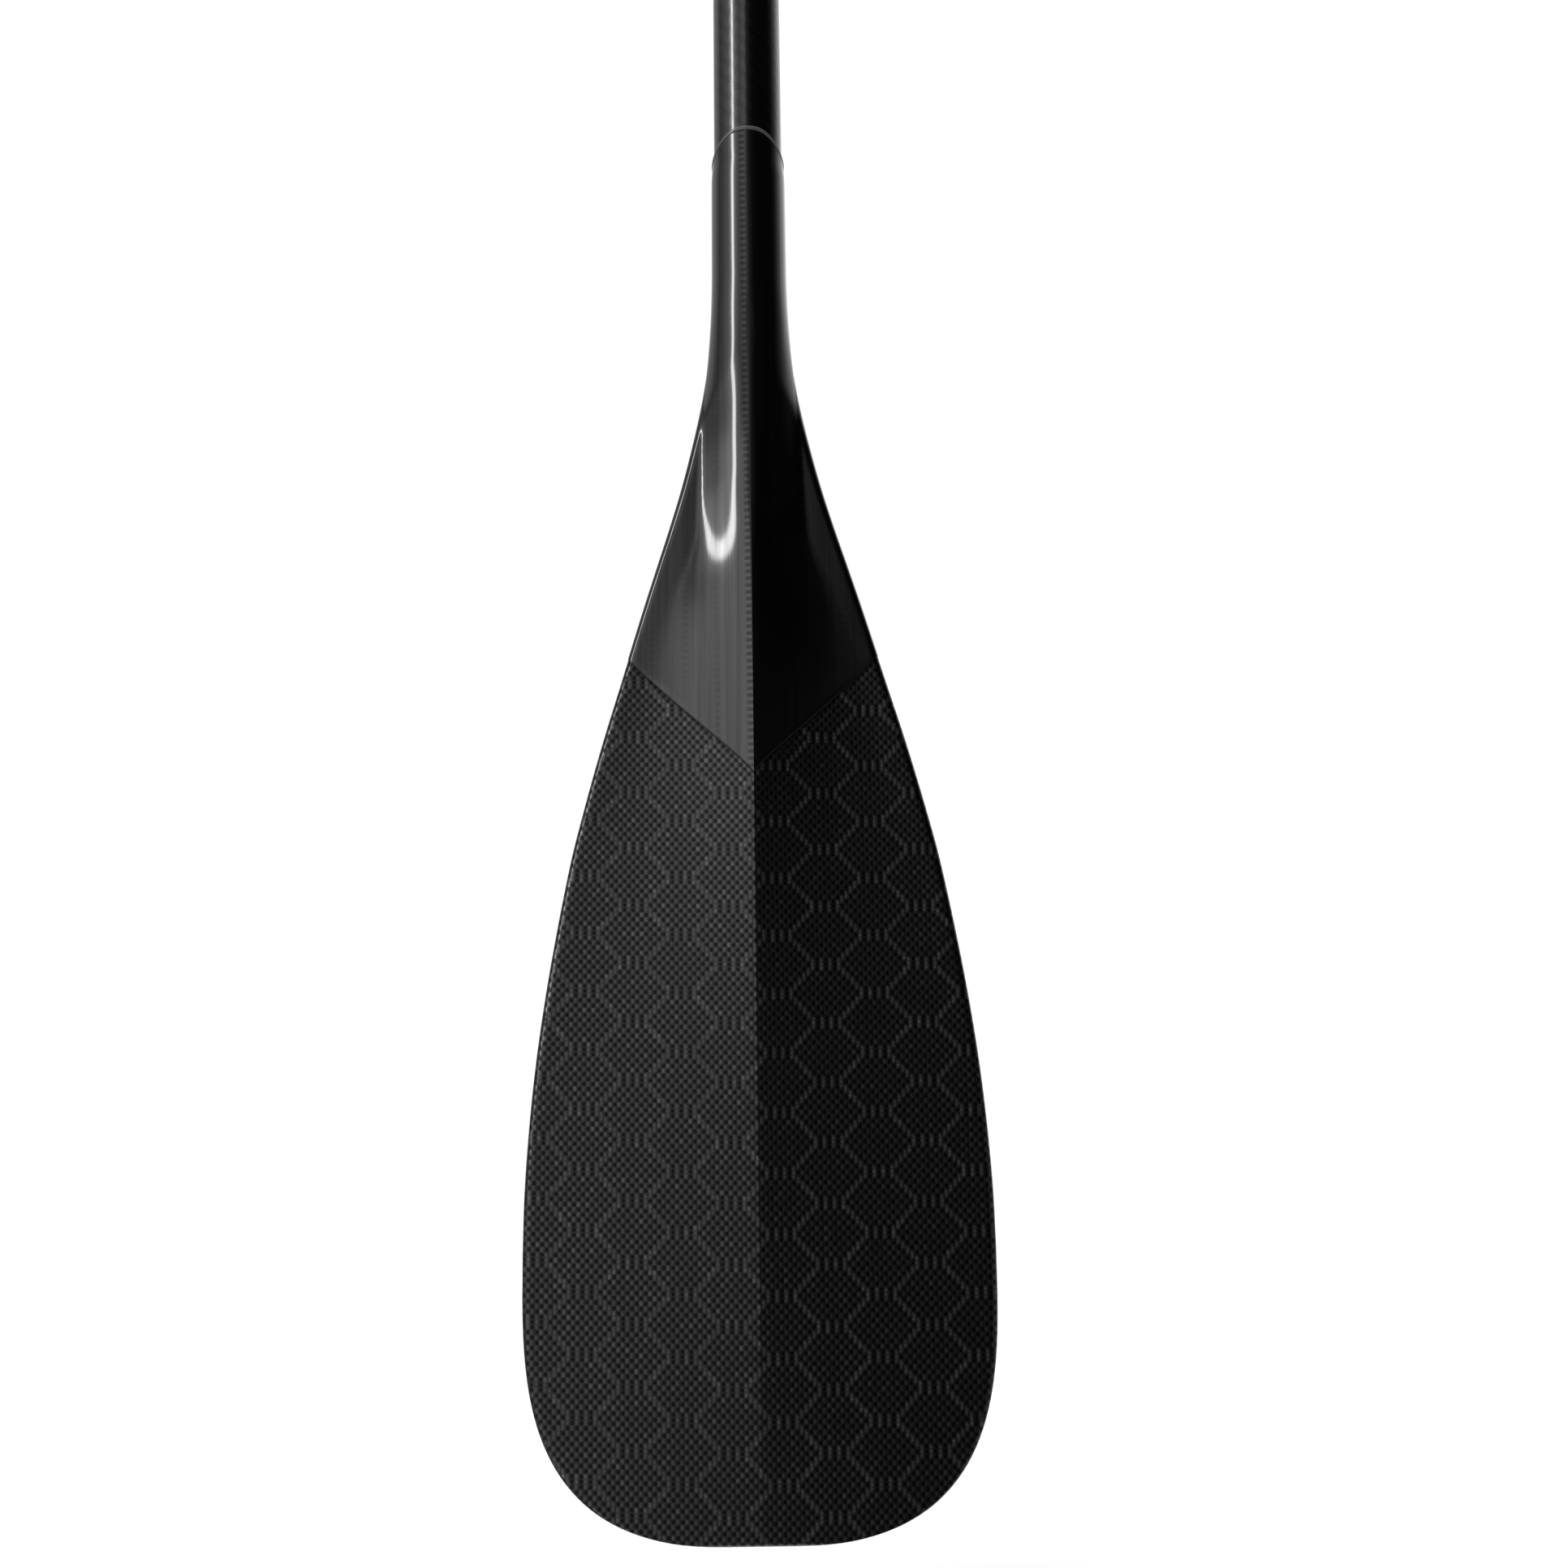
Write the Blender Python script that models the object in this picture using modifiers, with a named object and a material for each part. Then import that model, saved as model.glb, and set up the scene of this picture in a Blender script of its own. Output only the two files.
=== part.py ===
"""Two-bladed carbon kayak paddle with a lever-locked ferrule in the middle of its shaft.

The paddle stands on end. +Z runs along the shaft, from the right blade's tip to the left blade's,
-Y is the ridged side of both blades and +Y their power face. The origin is on the shaft's axis,
half-way between the tips. The left half telescopes out of the right half and turns against it.
"""

import math
from collections import namedtuple

import bmesh
import bpy
from mathutils import Matrix, Vector

MM = 0.001
GAP = 0.3  # between neighbouring pieces; every length below is in millimetres too

PADDLE_LENGTH = 2200.0
SHAFT_RADIUS = 14.5
SHAFT_BORE = 13.1
TURN_STEPS = 24
SMALL_STEPS = 16
CUT_THROUGH = 40.0  # length of the cutters that drill right through a piece
CLEAR = 5.0  # how far a cutter reaches past the face it starts from

# Blade, measured from its tip along the shaft
TIP_LENGTH = 105.0  # the round end, a superellipse
TIP_HALF_WIDTH = 89.1
TIP_ACROSS = 2.95
TIP_ALONG = 3.2
NECK_END = 560.0  # where the neck wrap's edge lies on the shaft
SHAFT_END = 488.0  # the shaft's end, inside the neck
CORE_END = 400.0
WRAP_POINT = 285.5  # lower edge of the neck wrap: a V, lowest at the centre
WRAP_SIDE = 333.8
WRAP_BEND = 0.84  # how straight the V is: 1 follows the blade's outline
ARCH_START = 500.0  # from here the wrap is arched: its upper edge is highest at the centre
ARCH_DROP = 9.0
ARCH_BEND = 2.8
SKIN = 1.2
SOCKET_RADIUS = 14.85  # inside the neck wrap, round the shaft
SOCKET_START = 484.0
SOCKET_BLEND = 452.0
SCOOP = 8.0  # how far the tip curves towards the power face
SCOOP_START = 430.0
SPAR_PLUG = 38.0  # how far the spar reaches up the shaft
BEAD_RADIUS = 15.6  # resin ring at the wrap's edge
BEAD_HEIGHT = 1.6
SECTION_STEPS = 12

# Half-width of the blade and neck beyond its round end
OUTLINE = [
    (105.0, 89.1), (120.0, 88.9), (131.0, 88.5), (146.0, 87.6), (161.0, 86.4), (176.5, 84.8),
    (192.0, 82.8), (207.5, 80.5), (223.0, 77.9), (239.0, 75.0), (255.0, 71.8), (271.0, 67.9),
    (287.5, 63.6), (304.0, 59.0), (320.5, 54.1), (337.5, 49.1), (354.5, 44.1), (371.5, 38.9),
    (389.0, 33.5), (406.5, 28.5), (424.5, 24.1), (435.0, 21.8), (442.5, 20.3), (450.0, 19.0),
    (457.0, 18.0), (471.5, 16.75), (486.5, 16.0), (501.5, 15.7), (531.5, 15.65), (544.0, 15.6),
    (551.0, 15.3), (560.0, 15.25),
]

# Cross-section of one side: height of the spine, thickness of the plate beside it, half-width of
# the spine's foot, the crest's sharpness (1 sharp, 2 round), its skirts' hollowness, edge round
Side = namedtuple("Side", "height plate foot crest skirt edge")
FRONT = {
    0.0: Side(3.2, 2.5, 88.0, 1.2, 1.6, 2.5),
    95.0: Side(4.7, 2.6, 88.0, 1.05, 1.9, 2.5),
    141.0: Side(5.3, 2.7, 84.0, 1.05, 2.0, 2.5),
    188.0: Side(6.0, 2.8, 76.5, 1.05, 2.0, 2.5),
    238.5: Side(6.8, 2.9, 66.4, 1.05, 2.0, 2.5),
    290.5: Side(7.8, 3.0, 54.0, 1.05, 1.9, 2.5),
    353.0: Side(10.0, 3.1, 34.8, 1.25, 1.75, 2.8),
    386.0: Side(11.9, 3.2, 22.6, 1.65, 1.65, 3.0),
    406.0: Side(14.0, 3.4, 21.2, 2.0, 1.55, 3.2),
    426.0: Side(15.2, 3.8, 20.2, 2.0, 1.3, 3.2),
    440.0: Side(15.5, 4.3, 19.2, 2.0, 1.2, 5.0),
    452.0: Side(15.65, 4.9, 18.4, 2.0, 1.05, 10.5),
    486.5: Side(16.0, 8.0, 16.0, 2.0, 0.5, 16.0),
    501.5: Side(15.7, 8.0, 15.7, 2.0, 0.5, 15.7),
    544.0: Side(15.6, 8.0, 15.6, 2.0, 0.5, 15.6),
    551.0: Side(15.3, 8.0, 15.3, 2.0, 0.5, 15.3),
    560.0: Side(15.25, 8.0, 15.25, 2.0, 0.5, 15.25),
}
BACK = {
    0.0: Side(2.4, 2.4, 88.0, 2.0, 2.0, 6.0),
    188.0: Side(2.6, 2.4, 76.5, 2.0, 2.0, 6.0),
    250.0: Side(3.1, 2.6, 66.5, 2.0, 2.0, 6.0),
    290.5: Side(4.4, 2.7, 54.0, 2.0, 2.0, 6.0),
    344.0: Side(7.9, 2.9, 42.0, 2.0, 2.0, 7.3),
    374.5: Side(10.7, 3.1, 33.3, 2.0, 2.0, 8.3),
    399.0: Side(12.7, 3.4, 28.0, 2.0, 1.7, 9.3),
    421.0: Side(14.1, 3.8, 23.5, 2.0, 1.3, 10.3),
    450.0: Side(15.4, 4.8, 18.7, 2.0, 0.75, 13.2),
    486.5: Side(16.0, 8.0, 16.0, 2.0, 0.5, 16.0),
    501.5: Side(15.7, 8.0, 15.7, 2.0, 0.5, 15.7),
    544.0: Side(15.6, 8.0, 15.6, 2.0, 0.5, 15.6),
    551.0: Side(15.3, 8.0, 15.3, 2.0, 0.5, 15.3),
    560.0: Side(15.25, 8.0, 15.25, 2.0, 0.5, 15.25),
}

# Shaft furniture
DRIP_RING_HEIGHT = 350.0  # from the paddle's middle
DRIP_SLEEVE_RADIUS = 17.2
DRIP_SLEEVE_TOP = 14.0
DRIP_LIP_RADIUS = 24.5
DRIP_LIP_DROP = 4.6
PLUG_LENGTH = 20.0
RIGHT_PLUG_HEIGHT = -216.0
LEFT_PLUG_HEIGHT = 94.0

# Ferrule, measured from the paddle's middle, which is the collar's top
COLLAR_HEIGHT = 34.0
COLLAR_BORE = 14.8
COLLAR_RADIUS = 18.5
SPLIT = 3.0  # width of the collar's split and the gap between its ears
EAR_THICKNESS = 5.5
EAR_HEIGHT = 24.0
EAR_START = 16.8
EAR_END = 29.5
RECESS_RADIUS = 16.0  # mouth of the collar, where the index ring turns
RECESS_DEPTH = 11.6
SNAP_RADIUS = 16.6
SNAP_LOW = 8.6  # below the collar's top
SNAP_HIGH = 5.4
RING_RADIUS = 18.5
RING_HEIGHT = 8.0
TUBE_SLIT = 2.0
TUBE_SLIT_LENGTH = 36.0
SLIT_RELIEF_RADIUS = 2.0
INSERT_RADIUS = 12.8
INSERT_BORE = 10.8
INSERT_LOW = -180.0
INSERT_HIGH = 78.0
KEYWAY_WIDTH = 3.0
KEYWAY_DEPTH = 1.0
CAP_RADIUS = 12.4
CAP_SHOULDER = 5.5
CAP_PLUG = 10.0
BOLT_X = 23.5
BOLT_Z = -17.0
BOLT_RADIUS = 2.0
BOLT_HEAD_RADIUS = 3.5
BOLT_HEAD = 4.0
BOLT_HOLE = BOLT_RADIUS + GAP
SOCKET_SIZE = 1.75  # from the hexagon's middle to a corner
SOCKET_DEPTH = 2.5
WASHER_RADIUS = 4.2
WASHER_THICKNESS = 1.0
PAD_START = 17.8
PAD_HEIGHT = 18.0
PAD_THICKNESS = 1.2
PIN_RADIUS = 3.0
PIN_LENGTH = 19.0
CAM_RADIUS = 5.5
CAM_OFFSET = 0.45
LEVER_HEIGHT = 20.0
LEVER_FORK = 6.6
LEVER_FORK_START = 19.3

HALF_LENGTH = PADDLE_LENGTH / 2
TUBE_START = HALF_LENGTH - SHAFT_END
RIGHT_TUBE_TOP = -RECESS_DEPTH - GAP
RING_TOP = GAP + RING_HEIGHT
LEFT_TUBE_LOW = RING_TOP + GAP
EAR_FACE = SPLIT / 2 + EAR_THICKNESS
PAD_FACE = EAR_FACE + GAP + PAD_THICKNESS
PIN_Y = -(PAD_FACE + GAP + CAM_RADIUS + CAM_OFFSET)
HEAD_SEAT = EAR_FACE + GAP + WASHER_THICKNESS + GAP


def smooth_curve(points):
    """A monotone cubic through (place, value) points, as a function of the place."""
    places = [p[0] for p in points]
    values = [p[1] for p in points]
    steps = [b - a for a, b in zip(places, places[1:])]
    slopes = [(b - a) / s for a, b, s in zip(values, values[1:], steps)]
    tangents = [slopes[0]]
    for i in range(1, len(slopes)):
        before, after = slopes[i - 1], slopes[i]
        if before * after <= 0:
            tangents.append(0.0)
            continue
        first = 2 * steps[i] + steps[i - 1]
        second = steps[i] + 2 * steps[i - 1]
        tangents.append((first + second) / (first / before + second / after))
    tangents.append(slopes[-1])

    def value(place):
        place = min(max(place, places[0]), places[-1])
        i = 0
        while i < len(steps) - 1 and place > places[i + 1]:
            i += 1
        t = (place - places[i]) / steps[i]
        rise = values[i] + t * t * (3 - 2 * t) * (values[i + 1] - values[i])
        lean = t * (1 - t) * ((1 - t) * tangents[i] - t * tangents[i + 1])
        return rise + steps[i] * lean

    return value


OUTLINE_CURVE = smooth_curve(OUTLINE)
SIDE_CURVES = {
    sign: [
        smooth_curve([(distance, side[k]) for distance, side in table.items()])
        for k in range(len(Side._fields))
    ]
    for sign, table in ((-1, FRONT), (1, BACK))
}


# ---- building blocks ----

def collection(name):
    made = bpy.data.collections.new(name)
    bpy.context.scene.collection.children.link(made)
    return made


def material(name, color, roughness, metallic=0.0):
    made = bpy.data.materials.new(name)
    made.use_nodes = True
    shader = made.node_tree.nodes["Principled BSDF"]
    shader.inputs["Base Color"].default_value = (*color, 1.0)
    shader.inputs["Roughness"].default_value = roughness
    shader.inputs["Metallic"].default_value = metallic
    return made


def add(name, mesh, look, location=(0, 0, 0), rotation=(0, 0, 0), parent=None):
    """A named part with its material; location is in millimetres, in the parent's frame."""
    part = bpy.data.objects.new(name, mesh)
    part.location = [c * MM for c in location]
    part.rotation_euler = rotation
    part.parent = parent
    PARTS.objects.link(part)
    if not mesh.materials:
        mesh.materials.append(look)
    return part


def frame_at(name, location, rotation=(0, 0, 0), parent=None):
    """An empty that carries a moving group."""
    empty = bpy.data.objects.new(name, None)
    empty.empty_display_size = 0.05
    empty.location = [c * MM for c in location]
    empty.rotation_euler = rotation
    empty.parent = parent
    PARTS.objects.link(empty)
    return empty


def profile_mesh(name, points, closed):
    """Edges of a turned profile, given as (radius, height) down its outer side."""
    mesh = bpy.data.meshes.new(name)
    edges = [(i, i + 1) for i in range(len(points) - 1)]
    if closed:
        edges.append((len(points) - 1, 0))
    mesh.from_pydata([(r * MM, 0, z * MM) for r, z in points], edges, [])
    return mesh


def turn(part, steps):
    """Turns a part's profile round its own Z axis."""
    screw = part.modifiers.new("Turn", "SCREW")
    screw.steps = steps
    screw.render_steps = steps
    screw.use_merge_vertices = True
    screw.merge_threshold = 0.00001
    return part


def turned(name, points, look, closed=False, steps=TURN_STEPS, **place):
    """A turned part: a closed profile makes a ring, an open one starts and ends on the axis."""
    return turn(add(name, profile_mesh(name, points, closed), look, **place), steps)


def tube(name, outer, bore, low, high, look, **place):
    """A plain round tube with small chamfers outside."""
    chamfer = 0.4
    points = [
        (bore, high), (outer - chamfer, high), (outer, high - chamfer), (outer, low + chamfer),
        (outer - chamfer, low), (bore, low),
    ]
    return turned(name, points, look, closed=True, **place)


def rod_points(radius, low, high, chamfer):
    """Open profile of a solid rod with chamfered ends."""
    return [
        (0, high), (radius - chamfer, high), (radius, high - chamfer), (radius, low + chamfer),
        (radius - chamfer, low), (0, low),
    ]


def add_cutter(name, mesh):
    cutter = bpy.data.objects.new(name, mesh)
    CUTTERS.objects.link(cutter)
    cutter.hide_render = True
    cutter.display_type = "WIRE"
    return cutter


def box_mesh(name, low, high):
    """A box between two corners, in millimetres."""
    mesh = bpy.data.meshes.new(name)
    shape = bmesh.new()
    bmesh.ops.create_cube(shape, size=1.0)
    size = [(h - l) * MM for l, h in zip(low, high)]
    centre = [(h + l) / 2 * MM for l, h in zip(low, high)]
    place = Matrix.Translation(centre) @ Matrix.Diagonal((*size, 1))
    bmesh.ops.transform(shape, matrix=place, verts=shape.verts)
    shape.to_mesh(mesh)
    shape.free()
    return mesh


def box_cutter(name, low, high):
    return add_cutter(name, box_mesh(name, low, high))


def round_cutter(name, radius, centre, length, axis, steps=SMALL_STEPS):
    """A cylinder along one axis, centred on a point."""
    mesh = bpy.data.meshes.new(name)
    shape = bmesh.new()
    bmesh.ops.create_cone(
        shape, cap_ends=True, segments=steps, radius1=radius * MM, radius2=radius * MM,
        depth=length * MM,
    )
    turn_to = Vector((0, 0, 1)).rotation_difference(Vector(axis)).to_matrix().to_4x4()
    place = Matrix.Translation(Vector([c * MM for c in centre])) @ turn_to
    bmesh.ops.transform(shape, matrix=place, verts=shape.verts)
    shape.to_mesh(mesh)
    shape.free()
    return add_cutter(name, mesh)


def combine(part, other, operation):
    modifier = part.modifiers.new(operation.title() + "." + other.name, "BOOLEAN")
    modifier.operation = operation
    modifier.solver = "EXACT"
    modifier.object = other


# ---- blade ----

def side_values(sign, distance):
    return Side(*[curve(distance) for curve in SIDE_CURVES[sign]])


def half_width(distance, inset):
    """Half-width of the outline, drawn in by inset."""
    if distance >= TIP_LENGTH:
        return OUTLINE_CURVE(distance) - inset
    along = (TIP_LENGTH - distance) / TIP_LENGTH
    return (TIP_HALF_WIDTH - inset) * (1 - along ** TIP_ALONG) ** (1 / TIP_ACROSS)


def scoop(distance):
    """How far the blade's middle surface lies towards the power face."""
    return SCOOP * max(0.0, 1 - distance / SCOOP_START) ** 2


def surface_height(sign, distance, x, inset):
    """Height of one side above the blade's middle surface."""
    side = side_values(sign, distance)
    width = half_width(distance, inset)
    edge = min(side.edge - inset / 2, width)
    if inset > 0 and distance > SOCKET_BLEND:
        edge = width
    plate = max(side.plate - inset, 0.2)
    beyond = max(0.0, abs(x) - (width - edge)) / edge
    rim = math.sqrt(max(0.0, 1 - min(beyond, 1.0) ** 2))
    across = min(abs(x) / (side.foot - inset), 1.0)
    spine = (side.height - inset - plate) * (1 - across ** side.crest) ** side.skirt
    height = plate * rim + spine
    if distance < side.edge:
        height *= math.sqrt(1 - (1 - distance / side.edge) ** 2)
    return height


def neck_inset(distance):
    """Wall of the neck: the skin's at the blade, and thick enough to leave the socket round the shaft."""
    wall = half_width(distance, 0) - SOCKET_RADIUS
    share = min(max((distance - SOCKET_BLEND) / (SOCKET_START - SOCKET_BLEND), 0.0), 1.0)
    return SKIN + share * (wall - SKIN)


def arch(across):
    """How far the neck wrap's upper edge lies below its highest point."""
    return ARCH_DROP * abs(across) ** ARCH_BEND


def section_row(sign, centre_distance, side_distance, inset_of, seam):
    """One row of points from the left edge to the right, on one side of the blade."""
    row = []
    arched = max(0.0, (centre_distance - ARCH_START) / (NECK_END - ARCH_START))
    for i in range(SECTION_STEPS + 1):
        across = math.sin(math.pi * (i / SECTION_STEPS - 0.5))
        share = abs(across) ** WRAP_BEND
        distance = centre_distance + (side_distance - centre_distance) * share
        distance -= arched * arch(across)
        inset = inset_of(distance)
        x = across * half_width(distance, inset)
        height = surface_height(sign, distance, x, inset)
        along = distance
        if distance < TIP_LENGTH:
            along = inset + distance * (TIP_LENGTH - inset) / TIP_LENGTH
        y = scoop(distance) + sign * (height + seam)
        row.append((x * MM, y * MM, along * MM))
    return row


def blade_rows():
    """Rows from the tip to the neck wrap's V, as (distance at the centre, distance at the edge)."""
    rows = []
    for degrees in (6, 16, 30, 48, 68, 90):
        distance = TIP_LENGTH * (1 - math.cos(math.radians(degrees)) ** (2 / TIP_ALONG))
        rows.append((distance, distance))
    for share in (0.2, 0.42, 0.64, 0.83, 1.0):
        centre = TIP_LENGTH + share * (WRAP_POINT - GAP - TIP_LENGTH)
        side = TIP_LENGTH + share * (WRAP_SIDE - GAP - TIP_LENGTH)
        rows.append((centre, side))
    return rows


def wrap_rows():
    """Rows from the V up to the level where the foam core ends."""
    rows = []
    for share in (0.0, 0.3, 0.65, 1.0):
        centre = WRAP_POINT + share * (CORE_END - WRAP_POINT)
        side = WRAP_SIDE + share * (CORE_END - WRAP_SIDE)
        rows.append((centre, side))
    return rows


def neck_rows():
    levels = (425.0, SOCKET_BLEND, SOCKET_START, 508.0, 532.0, 544.0, 552.0, NECK_END)
    return wrap_rows() + [(level, level) for level in levels]


def grid_faces(rows, columns, start, flip):
    faces = []
    for i in range(rows - 1):
        for j in range(columns - 1):
            a = start + i * columns + j
            face = (a, a + 1, a + columns + 1, a + columns)
            faces.append(face[::-1] if flip else face)
    return faces


def shell_mesh(name, sign, rows, inset_of):
    """A closed shell on one side of the blade: an outer and an inner surface joined along the rim."""
    seam = GAP / 2
    outer = [section_row(sign, c, s, lambda d: 0.0, seam) for c, s in rows]
    inner = [section_row(sign, c, s, inset_of, seam) for c, s in rows]
    columns = SECTION_STEPS + 1
    count = len(rows) * columns
    points = [p for row in outer + inner for p in row]
    front = sign < 0
    faces = grid_faces(len(rows), columns, 0, not front)
    faces += grid_faces(len(rows), columns, count, front)
    first = list(range(columns))
    last = [(len(rows) - 1) * columns + j for j in range(columns)]
    left = [i * columns for i in range(len(rows))]
    right = [i * columns + columns - 1 for i in range(len(rows))]
    for line, flip in ((first, False), (last, True), (left, True), (right, False)):
        for a, b in zip(line, line[1:]):
            face = (a, a + count, b + count, b)
            faces.append(face if flip != front else face[::-1])
    return finish_mesh(name, points, faces)


def solid_mesh(name, rows, inset):
    """A closed solid between both sides of the blade."""
    loops = []
    for c, s in rows:
        near = section_row(-1, c, s, lambda d: inset, 0.0)
        far = section_row(1, c, s, lambda d: inset, 0.0)
        loops.append(near + far[-2:0:-1])
    around = len(loops[0])
    points = [p for loop in loops for p in loop]
    faces = []
    for i in range(len(loops) - 1):
        for j in range(around):
            a, b = i * around + j, i * around + (j + 1) % around
            faces.append((a, b, b + around, a + around))
    faces.append(tuple(reversed(range(around))))
    faces.append(tuple(range((len(loops) - 1) * around, len(loops) * around)))
    return finish_mesh(name, points, faces)


def finish_mesh(name, points, faces):
    """A mesh of triangles, smooth but for its sharp edges, with its faces pointing out."""
    mesh = bpy.data.meshes.new(name)
    mesh.from_pydata(points, [], faces)
    shape = bmesh.new()
    shape.from_mesh(mesh)
    bmesh.ops.recalc_face_normals(shape, faces=shape.faces)
    bmesh.ops.triangulate(shape, faces=shape.faces)
    shape.to_mesh(mesh)
    shape.free()
    mesh.shade_smooth()
    mesh.set_sharp_from_angle(angle=math.radians(35))
    return mesh


def skin_inset(distance):
    """Wall of the blade's skins: the same everywhere."""
    return SKIN


def bead_mesh(name):
    """A ring that follows the arched edge of the neck wraps."""
    chamfer = 0.5
    low = NECK_END + GAP
    high = low + BEAD_HEIGHT
    profile = [
        (SOCKET_RADIUS, high), (BEAD_RADIUS - chamfer, high), (BEAD_RADIUS, high - chamfer),
        (BEAD_RADIUS, low + chamfer), (BEAD_RADIUS - chamfer, low), (SOCKET_RADIUS, low),
    ]
    points, faces = [], []
    for i in range(TURN_STEPS):
        turn = 2 * math.pi * i / TURN_STEPS
        across, back = math.sin(turn), math.cos(turn)
        for radius, height in profile:
            points.append((radius * across * MM, radius * back * MM, (height - arch(across)) * MM))
        near, far = i * len(profile), (i + 1) % TURN_STEPS * len(profile)
        for j in range(len(profile)):
            k = (j + 1) % len(profile)
            faces.append((near + j, near + k, far + k, far + j))
    return finish_mesh(name, points, faces)


def blade_meshes():
    """The skins, core, neck wraps and seam ring, which both blades share."""
    core_rows = blade_rows() + wrap_rows()[1:]
    return {
        "blade_skin_front": shell_mesh("blade_skin_front", -1, blade_rows(), skin_inset),
        "blade_skin_back": shell_mesh("blade_skin_back", 1, blade_rows(), skin_inset),
        "neck_wrap_front": shell_mesh("neck_wrap_front", -1, neck_rows(), neck_inset),
        "neck_wrap_back": shell_mesh("neck_wrap_back", 1, neck_rows(), neck_inset),
        "blade_core": solid_mesh("blade_core", core_rows, SKIN + GAP),
        "seam_ring": bead_mesh("seam_ring"),
    }


def make_blade(side, meshes, frame):
    """One blade with its neck and what is bonded inside it; its frame has the tip at zero."""
    looks = {"blade_core": "foam", "seam_ring": "resin"}
    for name, mesh in meshes.items():
        look = looks.get(name, "neck" if name.startswith("neck") else "weave")
        add(side + "_" + name, mesh, LOOKS[look], parent=frame)
    spar_radius = SHAFT_BORE - GAP
    shoulder = SHAFT_END - GAP
    spar = [
        (0, SHAFT_END + SPAR_PLUG), (spar_radius, SHAFT_END + SPAR_PLUG), (spar_radius, shoulder),
        (SHAFT_RADIUS - 0.5, shoulder), (13.2, SOCKET_BLEND), (8.5, CORE_END + GAP),
        (0, CORE_END + GAP),
    ]
    turned(side + "_neck_spar", spar, LOOKS["spar"], parent=frame)


# ---- shaft ----

def make_drip_ring(name, height, rotation=(0, 0, 0), parent=None):
    """A soft rubber cup on the shaft: a sleeve with a flared lip towards the blade."""
    bore = SHAFT_RADIUS + GAP
    sleeve, top = DRIP_SLEEVE_RADIUS, DRIP_SLEEVE_TOP
    lip, drop = DRIP_LIP_RADIUS, -DRIP_LIP_DROP
    points = [
        (sleeve - 0.8, top), (sleeve, top - 1.5), (sleeve, 5), (lip - 3, 1.5), (lip, drop + 0.6),
        (lip - 1.1, drop), (lip - 4.1, -1), (sleeve, 0.2), (bore, 0.2), (bore, top),
    ]
    turned(
        name, points, LOOKS["rubber"], closed=True, location=(0, 0, height), rotation=rotation,
        parent=parent,
    )


def make_shafts(left):
    """Both shaft tubes, the right one slit at the ferrule, and the plugs that keep water out."""
    look = LOOKS["shaft"]
    right_tube = tube(
        "right_shaft_tube", SHAFT_RADIUS, SHAFT_BORE, -TUBE_START, RIGHT_TUBE_TOP, look
    )
    half = TUBE_SLIT / 2
    slit_low = RIGHT_TUBE_TOP - TUBE_SLIT_LENGTH
    slit_from = SHAFT_RADIUS / 2
    slit_to = SHAFT_RADIUS + CLEAR
    slit = box_cutter("tube_slit", (slit_from, -half, slit_low), (slit_to, half, CLEAR))
    relief = round_cutter(
        "slit_relief", SLIT_RELIEF_RADIUS, ((slit_from + slit_to) / 2, 0, slit_low),
        slit_to - slit_from, (1, 0, 0),
    )
    combine(right_tube, slit, "DIFFERENCE")
    combine(right_tube, relief, "DIFFERENCE")
    tube(
        "left_shaft_tube", SHAFT_RADIUS, SHAFT_BORE, LEFT_TUBE_LOW, TUBE_START, look, parent=left
    )
    plug = rod_points(INSERT_RADIUS, -PLUG_LENGTH / 2, PLUG_LENGTH / 2, 1.0)
    turned("right_shaft_plug", plug, LOOKS["foam"], location=(0, 0, RIGHT_PLUG_HEIGHT))
    turned("left_shaft_plug", plug, LOOKS["foam"], location=(0, 0, LEFT_PLUG_HEIGHT), parent=left)


# ---- ferrule ----

def make_insert(left):
    """Male tube of the ferrule, with a keyway for the index ring, and the cap in its end."""
    insert = tube(
        "insert_tube", INSERT_RADIUS, INSERT_BORE, INSERT_LOW, INSERT_HIGH, LOOKS["ferrule"],
        parent=left,
    )
    floor = INSERT_RADIUS - KEYWAY_DEPTH
    half = KEYWAY_WIDTH / 2
    keyway = box_cutter(
        "keyway", (-half, -INSERT_RADIUS - CLEAR, INSERT_LOW - CLEAR),
        (half, -floor, LEFT_TUBE_LOW + CLEAR),
    )
    combine(insert, keyway, "DIFFERENCE")
    plug = INSERT_BORE - 0.4
    cap = [
        (0, CAP_PLUG), (plug - 0.8, CAP_PLUG), (plug, CAP_PLUG - 1), (plug, 0), (CAP_RADIUS, -GAP),
        (CAP_RADIUS, 2 - CAP_SHOULDER), (CAP_RADIUS - 1.2, -CAP_SHOULDER), (0, -CAP_SHOULDER),
    ]
    turned("insert_end_cap", cap, LOOKS["plastic"], location=(0, 0, INSERT_LOW), parent=left)


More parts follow.
